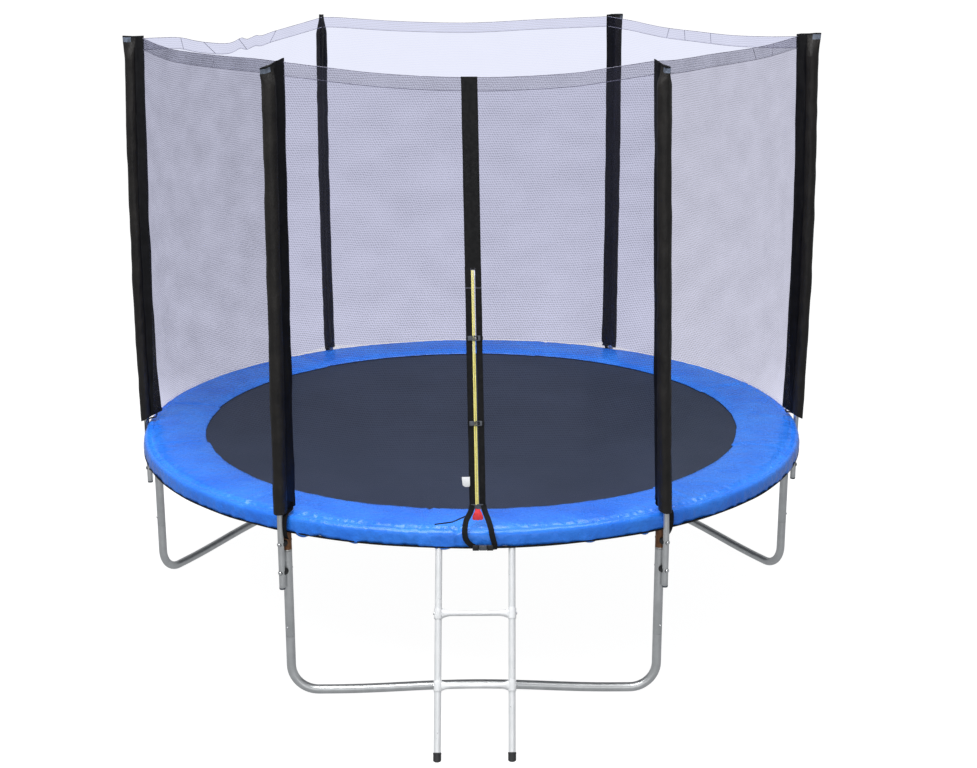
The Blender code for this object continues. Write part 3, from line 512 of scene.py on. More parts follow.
def make_legs():
    low, high = LEG_JOINT_Z + 0.0004, SOCKET_BOTTOM - 0.0004
    profile = [(low, TUBE_R - 0.0006), (low + 0.0008, TUBE_R), (0.45, TUBE_R), (high, TUBE_R)]
    for i in range(LEGS):
        b = Build()
        e = out(leg_angle(i))
        b.sweep(lathe(RING_R * e, UP, profile, 28, e))
        screw(b, (RING_R + TUBE_R) * e + 0.3 * UP, e, 0.0045, 1)
        b.make(f"leg_{i + 1}", ["zinc", "bolt"], slot=STEEL, replaces=[f"upper_leg_{i + 1}"])
    for name, i, j in (("right", 0, 1), ("left", 2, 3), ("front", 4, 5)):
        a, c = RING_R * out(leg_angle(i)), RING_R * out(leg_angle(j))
        b = Build()
        b.sweep(tube_rings(base_path(a, c), TUBE_R, 28, np.cross(unit(c - a), UP)))
        b.make(f"base_{name}", ["zinc"], slot=STEEL, replaces=[f"base_leg_{name}"])


def pole_heights():
    return np.array([POLE_BOTTOM, *np.linspace(LEAN_FROM, POLE_TOP, POLE_RINGS), SLEEVE_TOP])


def pole_centre(i, z):
    """The middle of a pole at one height or many: straight at the bottom, bowed and pulled in above."""
    x, y, power = POLE_LEAN[i]
    heights = pole_heights()
    s = np.maximum(0.0, (heights - LEAN_FROM) / (POLE_TOP - LEAN_FROM))
    bow = np.sin(np.pi * np.minimum(s, 1.0))[:, None] * np.array([*POLE_BOW[i], 0.0])
    middle = (RING_R + POLE_OUT) * out(leg_angle(i)) + bow + (s**power)[:, None] * np.array([x, y, 0.0])
    z = np.asarray(z, float)
    return np.stack([np.interp(z, heights, middle[:, 0]), np.interp(z, heights, middle[:, 1]), z], -1)


POLE_PLUG = ((-0.0035, 0.009), (-0.003, 0.0118), (0.0, 0.0126), (0.004, 0.0129))
WASHER = ((-0.004, 0.0096), (0.0006, 0.0096), (0.0012, 0.0092))
BOLT_HEAD = ((0.0012, 0.0092), (0.0013, 0.0074), (0.0024, 0.0072), (0.0042, 0.0056), (0.0052, 0.003))
SPACER_TALL, SPACER_WIDE, SPACER_GAP = 0.0125, 0.0135, 0.0004


def make_poles():
    for i in range(LEGS):
        b = Build()
        e = out(leg_angle(i))
        zs = np.array([POLE_BOTTOM, POLE_BOTTOM + 0.001, *np.linspace(POLE_BOTTOM + 0.02, POLE_END, 30)])
        b.sweep(tube_rings(pole_centre(i, zs), [POLE_R - 0.0008] + [POLE_R] * 31, 22, e))
        b.sweep(lathe(pole_centre(i, POLE_BOTTOM), UP, POLE_PLUG, 22, e), 1)
        b.make(f"net_pole_{i + 1}", ["zinc", "grey"], slot=STEEL, replaces=[f"pole_{i + 1}"])
        for name, z in zip(("lower", "upper"), BOLT_Z):
            make_bolt(i, name, z)


def make_bolt(i, name, z):
    """A carriage bolt, its washer and nut, and the half-moon spacer that seats the pole on the leg."""
    e, side = out(leg_angle(i)), out(leg_angle(i) + pi / 2)
    b = Build()
    face, back = RING_R + POLE_OUT + POLE_R, RING_R - TUBE_R
    b.sweep(lathe(face * e + z * UP, e, WASHER, 20, side), 1)
    b.sweep(lathe(face * e + z * UP, e, BOLT_HEAD, 20, side))
    b.sweep(lathe(back * e + z * UP, -e, ((0.0008, 0.0068), (0.0062, 0.0068)), 6, side))
    b.sweep(lathe(back * e + z * UP, -e, ((-0.002, 0.0038), (0.01, 0.0038)), 14, side))
    b.sweep(lathe(z * UP, e, ((RING_R + TUBE_R, 0.0038), (face - POLE_R * 2, 0.0038)), 14, side))
    rings = []
    for h in np.linspace(-SPACER_TALL, SPACER_TALL, 9):
        half = SPACER_WIDE * sqrt(1 - (h / SPACER_WIDE) ** 2 * 0.55)
        ys = np.linspace(-half, half, 9)
        inner = RING_R + np.sqrt(TUBE_R**2 - ys**2) + SPACER_GAP
        outer = RING_R + POLE_OUT - np.sqrt(np.maximum(POLE_R**2 - ys**2, 0)) - SPACER_GAP
        row = [*zip(inner, ys), *zip(outer[::-1], ys[::-1])]
        rings.append(np.array([r * e + y * side + (z + h) * UP for r, y in row]))
    b.sweep(rings, 2)
    materials = ["bolt", "rubber", "plastic"]
    b.make(f"bolt_{name}_{i + 1}", materials, slot=STEEL, replaces=[f"pole_bolt_{name}_{i + 1}"])


# ---- padded sleeves ----

TOP_TILT = (0.006, 0.0, 0.0, -0.002, -0.019, -0.03)  # how much higher the outer side of a closed top is
TOP_TWIST = (0.0, 0.0, 0.0, 0.0, -0.012, 0.01)  # and one end of its seam
TOP_LIFT = (0.0, 0.018, 0.018, 0.0, 0.0, 0.0)  # how much higher a sleeve and the net beside it stand
BOTTOM_SLOPE = (0.55, 0.55, 0.55, 0.55, 0.16, 0.35)  # how fast its lower edge rises along the flange
BOTTOM_LIFT = (0.0, 0.0, 0.0, 0.0, 0.017, 0.012)  # and how much shorter a sleeve hangs
TOP_CLOSE = (1.0, 0.15, 0.7, 1.0, 1.0, 1.0)  # how far its tube closes at the top
TOP_FLAT = 0.105  # the height over which the tube closes to a flat seam
FLARE = (0.0, 0.0, 0.0, 0.014, 0.004, 0.0)  # how much wider the flange hangs at the bottom
ROUND_N, FLAT_N, WALL_ROWS, TOP_ROWS = 44, 10, 130, 40
TOP_PART, TOP_SEAM, TOP_SHEEN_BAND = 0.12, 0.008, 0.03  # depths of the finely made top, its seam and its band of painted highlight


def sleeve_frame(i, z):
    """(the middle of a sleeve, the direction its flange points in)."""
    hang = np.array([*SLEEVE_HANG[i], 0.0])
    return pole_centre(i, z) + hang, out(leg_angle(i) + pi + radians(FLANGE_TWIST[i]))


def flange_tip(i, z):
    centre, inward = sleeve_frame(i, z)
    return centre + (SLEEVE_R + FLANGE_OUT) * inward


def sleeve_ring(i, z):
    """One section of a sleeve: round the foam tube, then out along the flange and back."""
    centre, inward = sleeve_frame(i, z)
    side = np.cross(UP, inward)
    top = smooth((z - (SLEEVE_TOP - TOP_FLAT)) / TOP_FLAT)
    turn = np.linspace(0.3, 2 * pi - 0.3, ROUND_N)
    bulge = 0.002 * layered(turn * 1.6, z * 8.0, 11 + i) + 0.0016 * noise(turn * 0.9, z * 17.0, 31 + i)
    crease = np.exp(-(((turn - 0.62 - 0.12 * noise(0, z * 3, 5 + i)) / 0.12) ** 2))
    fold = 0.0028 * top * noise(turn * 3.2, z * 26.0, 41 + i)
    r = SLEEVE_R + bulge * (1 - 0.5 * top) - 0.0022 * crease * (1 - top) + fold
    x, y = r * np.cos(turn), r * np.sin(turn) * (1 - 0.88 * top * TOP_CLOSE[i])
    x = np.where(x < 0, x * (1 + 0.45 * top), x)
    low = smooth(1 - (z - SLEEVE_BOTTOM) / 0.3)
    edge = SLEEVE_R + FLANGE_OUT + 0.0042 * layered(0.3, z * 5.0, 71 + i) + FLARE[i] * low
    along = np.linspace(0, 1, FLAT_N + 1)[1:]
    wave = (0.0026 + 0.003 * low) * noise(along * 1.3, z * 8, 91 + i)
    half = 0.005 * (1 - along) + 0.0016 + 0.0012 * np.abs(noise(along * 2, z * 11, 57 + i))
    fx = x[-1] + (edge - x[-1]) * along
    xs = np.concatenate([x, fx, fx[::-1]])
    ys = np.concatenate([y, wave - half * (1 - 0.5 * top), (wave + half * (1 - 0.5 * top))[::-1]])
    ring = centre + xs[:, None] * inward + ys[:, None] * side
    hem = BOTTOM_SLOPE[i] * np.maximum(0, RING_R + POLE_OUT + SLEEVE_R - ring @ out(leg_angle(i)))
    ring[:, 2] += hem * max(0.0, 1 - (z - SLEEVE_BOTTOM) / 0.08)
    reach = (SLEEVE_R - xs) / (2 * SLEEVE_R + FLANGE_OUT)
    ring[:, 2] += top * (TOP_TILT[i] * smooth(reach + 0.5) + TOP_TWIST[i] * np.clip(reach, -1, 1))
    ring[:, 2] += top * 0.002 * noise(xs * 60, 3.0, 8 + i)
    ring[:, 2] += TOP_LIFT[i] * smooth((z - 2.1) / 0.4)
    ring[:, 2] += BOTTOM_LIFT[i] * max(0.0, 1 - (z - SLEEVE_BOTTOM) / 0.2)
    return ring


def make_sleeves():
    low = SLEEVE_TOP - TOP_PART
    zs = [*np.linspace(SLEEVE_BOTTOM, low, WALL_ROWS), *np.linspace(low + 0.002, SLEEVE_TOP, TOP_ROWS)]
    sides = ROUND_N + 2 * FLAT_N
    for i in range(LEGS):
        b = Build()
        which = []
        for z in zs[:-1]:
            seam, band = z > SLEEVE_TOP - TOP_SEAM, SLEEVE_TOP - TOP_SHEEN_BAND < z < SLEEVE_TOP - TOP_SEAM
            for k in range(sides):
                outer = ROUND_N * 0.22 < k < ROUND_N * 0.78
                # material 2 paints a highlight on the band's outer side; material 1 paints the flange darker
                # than the cover as shade
                which.append(2 if outer and band else 1 if k >= ROUND_N - 2 or k < 2 or seam else 0)
        b.sweep([sleeve_ring(i, z) for z in zs], which + [1] * sides * 2)
        # the third material, named fold, is the painted highlight band, not a cloth of its own
        materials = ["cover", "flange", "fold"]
        b.make(f"sleeve_{i + 1}", materials, slot="sleeve_cover", replaces=[f"pole_sleeve_{i + 1}"], sharp=70)


# ---- mat, springs and pad ----

SECTORS, SECTOR_COLS = 24, 9
MAT_THICK, MAT_HEM, MAT_HEM_R = 0.0035, 0.0012, 1.27
COIL_FROM, COIL_LONG = 1.345, 0.115
SPRING_COILS, SPRING_WIRE, SPRING_COIL_R, SPRING_Z = 22, 0.0013, 0.0058, 0.7745
SPRING_HOOKS = (
    ((1.312, 0.001), (1.316, 0.0045), (1.324, 0.0045), (1.335, 0.001)),
    ((1.47, 0.001), (1.48, 0.0045), (1.489, 0.005), (1.493, -0.001)),
)


def bounce(obj):
    """Bakes the object's placement into its points."""
    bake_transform(obj)


def make_mat():
    """The jump cloth in sectors, with a raised hem round its edge."""
    rs = np.array([*np.linspace(0.0, 1.24, 18), 1.262, 1.275, 1.284, 1.306, MAT_R])
    n = len(rs) * SECTOR_COLS
    for k in range(SECTORS):
        angles = 2 * pi / SECTORS * np.linspace(k, k + 1, SECTOR_COLS)
        heights = [MAT_TOP + (MAT_HEM if r > MAT_HEM_R else 0) for r in rs]
        top = np.array([[r * out(a) + z * UP for a in angles] for r, z in zip(rs, heights)])
        faces = [f[::-1] for f in grid_faces(len(rs), SECTOR_COLS)]
        faces += grid_faces(len(rs), SECTOR_COLS, start=n)
        rim = [n - SECTOR_COLS + c for c in range(SECTOR_COLS)]
        faces += [(a, c, c + n, a + n) for a, c in zip(rim, rim[1:])]
        points = np.concatenate([top.reshape(-1, 3), top.reshape(-1, 3) - MAT_THICK * UP])
        replaces = ["jump_mat"] if k == 0 else []
        name, faces = f"mat_{k + 1:02d}", [f[::-1] for f in faces]
        obj = piece(name, points, faces, ["mat"], body=None, slot="mat_cloth", replaces=replaces)
        bounce(obj)


def make_springs():
    """Barrel springs: hooks at both ends, and close coils between."""
    t = np.linspace(0, 1, 230)
    radius = SPRING_COIL_R * np.sin(np.pi * np.clip(t, 0.02, 0.98)) ** 0.22
    for k in range(SPRINGS):
        a = 2 * pi * k / SPRINGS
        e, side = out(a), out(a + pi / 2)
        turn = 2 * pi * SPRING_COILS * t
        coil = (COIL_FROM + COIL_LONG * t)[:, None] * e + (radius * np.cos(turn))[:, None] * side
        coil += (SPRING_Z + radius * np.sin(turn))[:, None] * UP
        hooks = [np.array([p * e + (SPRING_Z + q) * UP for p, q in hook]) for hook in SPRING_HOOKS]
        b = Build()
        b.sweep(tube_rings(np.concatenate([hooks[0], coil, hooks[1]]), SPRING_WIRE, 6, e))
        replaces = ["spring_set"] if k == 0 else []
        bounce(b.make(f"spring_{k + 1:02d}", ["zinc"], body=None, slot="spring_steel", replaces=replaces))


PAD_SEAMS = (22.0, 74.0, 90.0, 128.0, 170.0, 196.0, 232.0, 262.0, 307.0, 340.0)  # degrees
PAD_COLS = 1260
SKIRT_DEEPER = (  # (angle, width, how much deeper) of the places where the skirt hangs down
    (265.5, 1.6, 0.014), (243.5, 1.2, 0.018), (296.5, 1.0, 0.012), (287.5, 1.2, 0.01), (252.0, 1.2, 0.009),
)
LIP_N = 5  # how many points of the section make the pad's inner lip
PLEAT_ANGLE = 267.5  # where the tucks run down to one point beside the strap


def pad_section():
    """(radius, height) pairs round the pad, and how many of them are the blue outside."""
    top = [
        (PAD_IN + 0.003, PAD_UNDER - 0.0015), (PAD_IN, PAD_UNDER), (PAD_IN + 0.001, PAD_UNDER + 0.0025),
        (PAD_IN + 0.008, PAD_UNDER + 0.005), (PAD_IN + 0.02, PAD_TOP - 0.0045),
        (PAD_IN + 0.036, PAD_TOP - 0.001),
    ]
    top += [(r, PAD_TOP) for r in np.linspace(PAD_IN + 0.05, 1.488, 16)]
    top += [(1.496, 0.797), (1.503, 0.796), (1.511, 0.796), (1.519, 0.795), (1.527, 0.792), (1.5325, 0.786)]
    top += [(1.535, 0.777), (1.5356, 0.768), (1.5354, 0.758), (1.535, 0.75), (1.5345, 0.742), (1.5333, 0.731)]
    under = [(1.531, 0.7315), (1.53, 0.742), (1.53, 0.765), (1.5285, 0.782), (1.522, PAD_UNDER - 0.001)]
    under += [(r, PAD_UNDER - 0.002) for r in (1.47, 1.4, 1.33, 1.27)]
    return np.array(top + under), len(top)


def make_pad():
    """Foam under glossy cloth: a soft top, a puckered stitch line, and a loose skirt."""
    section, outside = pad_section()
    n, m = PAD_COLS, len(section)
    angle = np.arange(n) * 2 * np.pi / n
    A = np.repeat(angle[:, None] * PAD_OUT, m, 1)
    R, Z = np.repeat(section[None, :, 0], n, 0), np.repeat(section[None, :, 1], n, 0)
    drop = smooth((PAD_TOP - Z) / 0.065) * (R > 1.51)
    away = [np.abs((angle - radians(s) + pi) % (2 * pi) - pi) * PAD_OUT for s in PAD_SEAMS]
    seam = sum(np.exp(-((d / 0.007) ** 2)) for d in away)[:, None]
    near = sum(np.exp(-((d / 0.07) ** 2)) for d in away)[:, None]
    top = smooth((R - PAD_IN - 0.006) / 0.03) * smooth((Z - 0.788) / 0.006)
    crown = 0.0035 * np.sin(np.pi * np.clip((R - PAD_IN) / (1.5 - PAD_IN), 0, 1)) ** 0.6
    broad = 0.0032 * layered(A / 0.16, R / 0.1, 3) + 0.0017 * layered(A / 0.035, R / 0.05, 17)
    tucks = 0.003 * near * noise(A / 0.02, R / 0.06, 61) - 0.0046 * seam
    stitch = np.exp(-(((R - 1.502) / 0.014) ** 2)) * (Z > 0.785)
    pucker = -0.004 * stitch * (0.55 + 0.45 * noise(A / 0.021, R / 0.02, 23))
    pucker -= 0.0044 * stitch * np.abs(noise(A / 0.012, R / 0.012, 29))
    ridge = 0.0048 * np.exp(-(((R - 1.484) / 0.018) ** 2)) * noise(A / 0.016, R / 0.016, 41) * (Z > 0.785)
    d = (angle - radians(PLEAT_ANGLE)) * PAD_OUT
    pleat = sum(np.exp(-(((d[:, None] - w * (1.53 - R)) / 0.006) ** 2)) for w in (-0.55, 0.0, 0.75))
    Z = Z + np.where(np.arange(m) < outside, (crown + broad + tucks) * top + pucker + ridge, 0)
    Z = Z - 0.0055 * pleat * top * smooth((R - 1.4) / 0.06)
    # the skirt swings in and out, more towards its bottom, with folds that start at the seams
    sway = 0.0034 * layered(A / 0.11, Z / 0.3, 7) + 0.003 * noise(A / 0.02, Z / 0.035, 19)
    sway += 0.0035 * near * noise(A / 0.017, Z / 0.2, 47) - 0.004 * pleat * (Z > 0.74)
    R = R + (0.002 + sway) * drop
    edge = 0.004 * layered(A / 0.21, 0.0, 53) + 0.0018 * noise(A / 0.05, 0.0, 59)
    for where, wide, deeper in SKIRT_DEEPER:
        edge = edge - deeper * np.exp(-(((np.degrees(angle)[:, None] - where) / wide) ** 2))
    Z = Z + edge * drop**2
    turned = np.array([*PAD_SEAMS, PAD_SEAMS[0] + 360])
    since = (np.degrees(angle) - PAD_SEAMS[0]) % 360 + PAD_SEAMS[0]
    share = np.interp(since, turned, np.arange(len(turned))) % 1
    lip = np.arange(m) < LIP_N
    R = R + lip * (0.01 * (share - 0.5) + 0.016 * np.maximum(0, -np.sin(angle)) ** 4)[:, None]
    R = R + lip * (0.0022 * layered(A / 0.09, 0.0, 67) + 0.0008 * noise(A / 0.02, 1.0, 69))
    P = np.stack([R * np.cos(angle)[:, None], R * np.sin(angle)[:, None], Z], -1)
    b = Build()
    which = np.tile(np.where(np.arange(m) < outside - 1, 0, 1), n)
    b.add(P, grid_faces(n, m, wrap_rows=True, wrap_cols=True), which.tolist())
    b.make("pad", ["pad", "under"], slot="pad_cover", replaces=["safety_pad"], sharp=180)


# ---- the net ----

NET_ROWS, NET_COLS, WING_COLS, APEX_COLS = 46, 60, 20, 24
TOP_CURVES = (  # (share of the way along, how far the top edge hangs) of each panel
    ((0, 0), (0.15, 0.016), (0.32, 0.0267), (0.5, 0.0264), (0.68, 0.024), (0.86, 0.008), (1, 0)),
    ((0, 0), (0.23, 0.013), (0.48, 0.03), (0.73, 0.022), (0.94, 0.002), (1, 0)),
    (
        (0, 0), (0.18, 0.0245), (0.3, 0.04), (0.376, 0.054), (0.408, 0.0485), (0.462, 0.062), (0.495, 0.051),
        (0.568, 0.0695), (0.71, 0.0464), (0.82, 0.0157), (0.925, 0.005), (1, 0),
    ),
    ((0, 0), (0.2, 0.022), (0.39, 0.0235), (0.625, 0.015), (0.834, 0.004), (1, 0)),
    ((0, 0), (0.12, 0.0096), (0.32, 0.011), (0.665, 0.016), (0.834, 0.0097), (1, 0)),
)
FRONT_SAG, FRONT_SAG_X, FRONT_SAG_HALF = 0.057, 0.03, 0.7
TUCKS = (  # (share at the top, share at the seam) of the small folds sewn into each hem
    ((0.44, 0.43), (0.565, 0.565), (0.645, 0.665)), (), ((0.3, 0.33), (0.52, 0.47), (0.7, 0.64), (0.82, 0.8)),
    ((0.55, 0.56),), ((0.66, 0.665), (0.8, 0.795)),
)
PANEL_LOOKS = (
    ("net_far", "hem_far"), ("net_far", "hem_far"), ("net_far", "hem_far"),
    ("net_near_left", "hem_near_left"), ("net_near_right", "hem_near_right"),
)
HEM_DEEP, HEM_STEPS, HEM_BACK, CORD_R = 0.05, 5, 0.0022, 0.0011
RIM_PATH = (  # (radius, height) of the net over the pad's rim
    (1.53, 0.803), (1.5385, 0.7965), (1.542, 0.784), (1.5425, 0.764), (1.542, 0.745), (1.541, 0.733),
    (1.538, 0.7285),
)
POLE_CLEAR = 0.0155  # radians from a pole to the net that goes over the rim beside it


DOOR_SLOPE = (FRONT_BOTTOM_Y - FRONT_TOP_Y) / (PLANE_TOP - NET_BOTTOM)
DOOR_FRONT = np.array([0.0, -1.0, DOOR_SLOPE]) / hypot(1, DOOR_SLOPE)
NET_FOOT = NET_BOTTOM + SLEEVE_SLOPE * 2 * SLEEVE_R  # the height at which the net leaves a flange


def door_point(x, z, lift=0.0):
    """A point of the door's plane, or in front of it: x is from the slit."""
    s = (PLANE_TOP - z) / (PLANE_TOP - NET_BOTTOM)
    slit = SLIT_TOP_X + (SLIT_BOTTOM_X - SLIT_TOP_X) * s
    return np.array([x + slit, -(FRONT_TOP_Y + (FRONT_BOTTOM_Y - FRONT_TOP_Y) * s), z]) + lift * DOOR_FRONT


DOOR_UP = unit(door_point(0, APEX_Z) - door_point(0, NET_BOTTOM))
DOOR_AXES = unit(EX - (EX @ DOOR_UP) * DOOR_UP), DOOR_UP, DOOR_FRONT  # across, up the slit, and out


def net_edge(i, z, way):
    """Where a panel lies against a flange."""
    _, inward = sleeve_frame(i, z)
    return flange_tip(i, z) - 0.006 * inward + way * 0.0035 * out(leg_angle(i) + pi / 2)


def sheet(name, grid, look, body="frame", replaces=(), planar=False):
    """A net sheet with UV in metres, along its own rows and columns or straight across the door's plane."""
    rows, cols = grid.shape[:2]
    if planar:
        u, v = grid[:, :, 0], grid[:, :, 2] * hypot(1, DOOR_SLOPE)
    else:
        steps = np.linalg.norm(np.diff(grid[rows // 2], axis=0), axis=1)
        u = np.repeat(np.concatenate([[0], np.cumsum(steps)])[None, :], rows, 0)
        v = np.zeros((rows, cols))
        v[1:] = -np.cumsum(np.linalg.norm(np.diff(grid, axis=0), axis=2), axis=0)
    uv = np.stack([u, v], -1)
    faces = grid_faces(rows, cols)
    piece(name, grid, faces, [look], body=body, uv=uv, replaces=replaces, slot="net_mesh", sharp=180)


def ripple(grid, seed, amount=0.004):
    """Soft waves across a hanging sheet, none at its side edges."""
    rows, cols = grid.shape[:2]
    normal = np.cross(np.gradient(grid, axis=1), UP)
    normal /= np.linalg.norm(normal, axis=2)[:, :, None]
    c, r = np.linspace(0, 1, cols)[None, :], np.linspace(0, 1, rows)[:, None]
    wave = amount * layered(c * 7 + r * 1.5, r * 3.0, seed) + amount * 0.45 * noise(c * 24, r * 4, seed + 9)
    return grid + (wave * np.sin(np.pi * c) ** 0.5)[:, :, None] * normal


def panel_grid(i, j, curve):
    """Lines from the hanging top edge to the round rim, bent with the poles at both sides."""
    grid = np.zeros((NET_ROWS, NET_COLS, 3))
    zs = np.linspace(NET_TOP, NET_FOOT, NET_ROWS)
    edges = [np.array([net_edge(k, z, way) for z in zs]) for k, way in ((i, 1), (j, -1))]
    edge_r = [np.linalg.norm(edge[-1][:2]) for edge in edges]
    sag = spline([(u, s, 0) for u, s in curve], 200)
    down = np.linspace(0, 1, NET_ROWS)[:, None]
    for c in range(NET_COLS):
        u = c / (NET_COLS - 1)
        top = (1 - u) * edges[0][0] + u * edges[1][0] - np.interp(u, sag[:, 0], sag[:, 1]) * UP
        bottom = (1 - u) * edges[0][-1] + u * edges[1][-1]
        radius = (1 - u) * edge_r[0] + u * edge_r[1]
        wide = radius + (NET_RIM_R - radius) * sin(pi * u) ** 0.7
        height = NET_BOTTOM + 0.004 + (NET_FOOT - NET_BOTTOM) * abs(2 * u - 1) ** 8
        bottom = np.array([*(bottom[:2] / np.linalg.norm(bottom[:2]) * wide), height])
        line = top + (bottom - top) * down
        for edge, share in ((edges[0], 1 - u), (edges[1], u)):
            line += (edge - edge[0] - (edge[-1] - edge[0]) * down) * share**2
        lift = (1 - u) * TOP_LIFT[i] + u * TOP_LIFT[j]
        grid[:, c] = line + lift * (1 - down) ** 4 * UP
    return grid


def rim_drop(bottom_row):
    """The net's lower edge, drawn out over the pad's rim and tied under it."""
    grid = []
    for p in bottom_row:
        e, r = unit([p[0], p[1], 0]), np.linalg.norm(p[:2])
        half_way = ((r + RIM_PATH[0][0]) / 2, max(0.8045, (p[2] + RIM_PATH[0][1]) / 2))
        path = [(r, p[2]), half_way, *RIM_PATH]
        grid.append([q * e + z * UP for q, z in path])
    return np.array(grid).transpose(1, 0, 2)


def add_hem(name, grid, look, tucks=()):
    """The doubled top edge a little inside the net, with a cord along it and its small folds."""
    cols = grid.shape[1]
    down = grid[3] - grid[0]
    down /= np.linalg.norm(down, axis=1)[:, None]
    inward = -grid[0] * (1, 1, 0)
    inward /= np.linalg.norm(inward, axis=1)[:, None]
    deep = np.linspace(0, HEM_DEEP, HEM_STEPS)[:, None, None]
    hem = grid[0] + down * deep + HEM_BACK * inward
    sheet(f"{name}_hem", hem, look)
    b = Build()
    for line in (hem[0], hem[-1]):
        b.sweep(tube_rings(line - HEM_BACK / 2 * inward, CORD_R, 6, UP))
    for start, end in tucks:
        a, c = int(start * (cols - 1)), int(end * (cols - 1))
        path = hem[0, a] + (hem[-1, c] - hem[0, a]) * np.linspace(0, 1, 6)[:, None]
        b.sweep(tube_rings(path - HEM_BACK * inward[a], CORD_R, 6, inward[a]))
    b.make(f"{name}_hem_cord", ["cord"], slot="net_mesh")


def trim_for_pole(row, i):
    """Keeps the ends of a bottom row beside the poles."""
    a0, a1 = leg_angle(i) + POLE_CLEAR, leg_angle(i) + 2 * pi / LEGS - POLE_CLEAR
    angles = np.unwrap(np.arctan2(row[:, 1], row[:, 0]))
    angles += 2 * pi * round(((a0 + a1) / 2 - angles[len(row) // 2]) / (2 * pi))
    angles = np.clip(angles, a0, a1)
    radius = np.linalg.norm(row[:, :2], axis=1)
    return np.stack([radius * np.cos(angles), radius * np.sin(angles), row[:, 2]], -1)


def make_panels():
    for k, (curve, tucks, looks) in enumerate(zip(TOP_CURVES, TUCKS, PANEL_LOOKS)):
        i, j = (k, k + 1) if k < 4 else (5, 0)
        grid = ripple(panel_grid(i, j, curve), 100 + k)
        sheet(f"panel_{k + 1}", grid, looks[0], replaces=[f"net_panel_{k + 1}"])
        add_hem(f"panel_{k + 1}", grid, looks[1], tucks)
        sheet(f"panel_drop_{k + 1}", rim_drop(trim_for_pole(grid[-1], i)), "net_drop")


def front_top(x):
    """The hanging top edge of the front panel over the door's plane."""
    return NET_TOP - FRONT_SAG * (1 - min(1.0, abs(x - FRONT_SAG_X) / FRONT_SAG_HALF) ** 2)


def make_front():
    """The fixed front net: wings from the flanges, and the flat part round the door."""
    down = np.linspace(0, 1, NET_ROWS)[:, None]
    sides = []
    for i, s in ((4, -1), (5, 1)):
        edge = np.array([net_edge(i, z, -s) for z in np.linspace(NET_TOP, NET_FOOT, NET_ROWS)])
        top = door_point(s * FRONT_HALF, front_top(s * FRONT_HALF))
        line = top + (door_point(s * FRONT_HALF, NET_BOTTOM + 0.003) - top) * down
        wing = edge[:, None] + (line - edge)[:, None] * np.linspace(0, 1, WING_COLS)[None, :, None]
        inner = []
        for share in np.linspace(0, 1, APEX_COLS)[1:]:
            x = s * FRONT_HALF * (1 - share)
            a = door_point(x, front_top(x))
            low = door_point(x, NET_BOTTOM + (APEX_Z - NET_BOTTOM) * share)
            inner.append(a + (low - a) * down)
        sides.append(np.concatenate([wing, np.array(inner).transpose(1, 0, 2)], axis=1))
        row = wing[-1].copy()
        row[0] = np.linalg.norm(row[0][:2]) * out(leg_angle(i) - s * POLE_CLEAR) + row[0][2] * UP
        start = door_point(s * FRONT_HALF, NET_BOTTOM)[0]
        xs = np.linspace(start, SLIT_BOTTOM_X + s * 0.055, 22)[1:]
        row = np.concatenate([row, [np.array([x, -sqrt(1.512**2 - x * x), 0.8035]) for x in xs]])
        sheet(f"front_drop_{i + 1}", rim_drop(row[::-s]), "net_drop")
    grid = np.concatenate([sides[0], sides[1][:, -2::-1]], axis=1)
    sheet("front_net", grid, "net_front", replaces=["net_front"], planar=True)
    add_hem("front", grid, "hem_front")


# ---- the door ----

FLAP_ROWS, FLAP_COLS = 40, 16
FLAP_FOOT = (  # (from the slit, height) of a flap's foot
    (0.0, 0.895), (0.03, 0.868), (0.045, 0.846), (0.1, 0.822), (0.17, 0.813),
    (FRONT_HALF, NET_BOTTOM + 0.002),
)
FLAP_START, FLAP_END = 0.03, 0.985  # the shares of the hinge line between which a flap lies
BINDING = (0.0075, 0.0315)  # the sides of the black tape beside the zip
ZIP_TOP, ZIP_LOW = 0.005, 0.0065  # half the width of the yellow tape
ZIP_SHIFT = -0.002  # the zip is a little to the left of the slit
TOOTH, TOOTH_PITCH = (0.0028, 0.0028, 0.0016), 0.006
BINDING_TOP, BINDING_LOW = APEX_Z - 0.078, SLIT_BOTTOM_Z - 0.004  # above that the tape stays with the net
TAPE_LIFT, TAPE_THICK, TAPE_WAVE, SEAM_WIDE, SEAM_THICK = 0.0018, 0.0024, 0.0012, 0.0009, 0.0008
DOOR_CORD_R = 0.0026


def door_tape(sides, heights, lift, thick, wave=0.0, seed=1, steps=60):
    """Rings of a tape on the door's plane: sides are its two edges, at the bottom and at the top."""
    (low_a, low_b), (high_a, high_b) = sides
    rings = []
    for t, z in zip(np.linspace(0, 1, steps), np.linspace(*heights, steps)):
        a = low_a + (high_a - low_a) * t + wave * 0.6 * noise(z * 9, 0.3, seed)
        c = low_b + (high_b - low_b) * t + wave * 0.6 * noise(z * 8, 2.3, seed + 3)
        mid, e, h = lift + wave * 0.5 * noise(z * 6, 5.1, seed + 5), 0.0008, thick / 2
        outline = [(a + e, -h), (a, 0), (a + e, h), (c - e, h), (c, 0), (c - e, -h)]
        rings.append(np.array([door_point(x, z, mid + up) for x, up in outline]))
    return rings


def both(a, b):
    return (min(a, b), max(a, b)), (min(a, b), max(a, b))


def flap_foot(x):
    """How low a flap hangs at this distance from the slit."""
    xs, zs = zip(*FLAP_FOOT)
    return np.interp(abs(x), xs, zs)


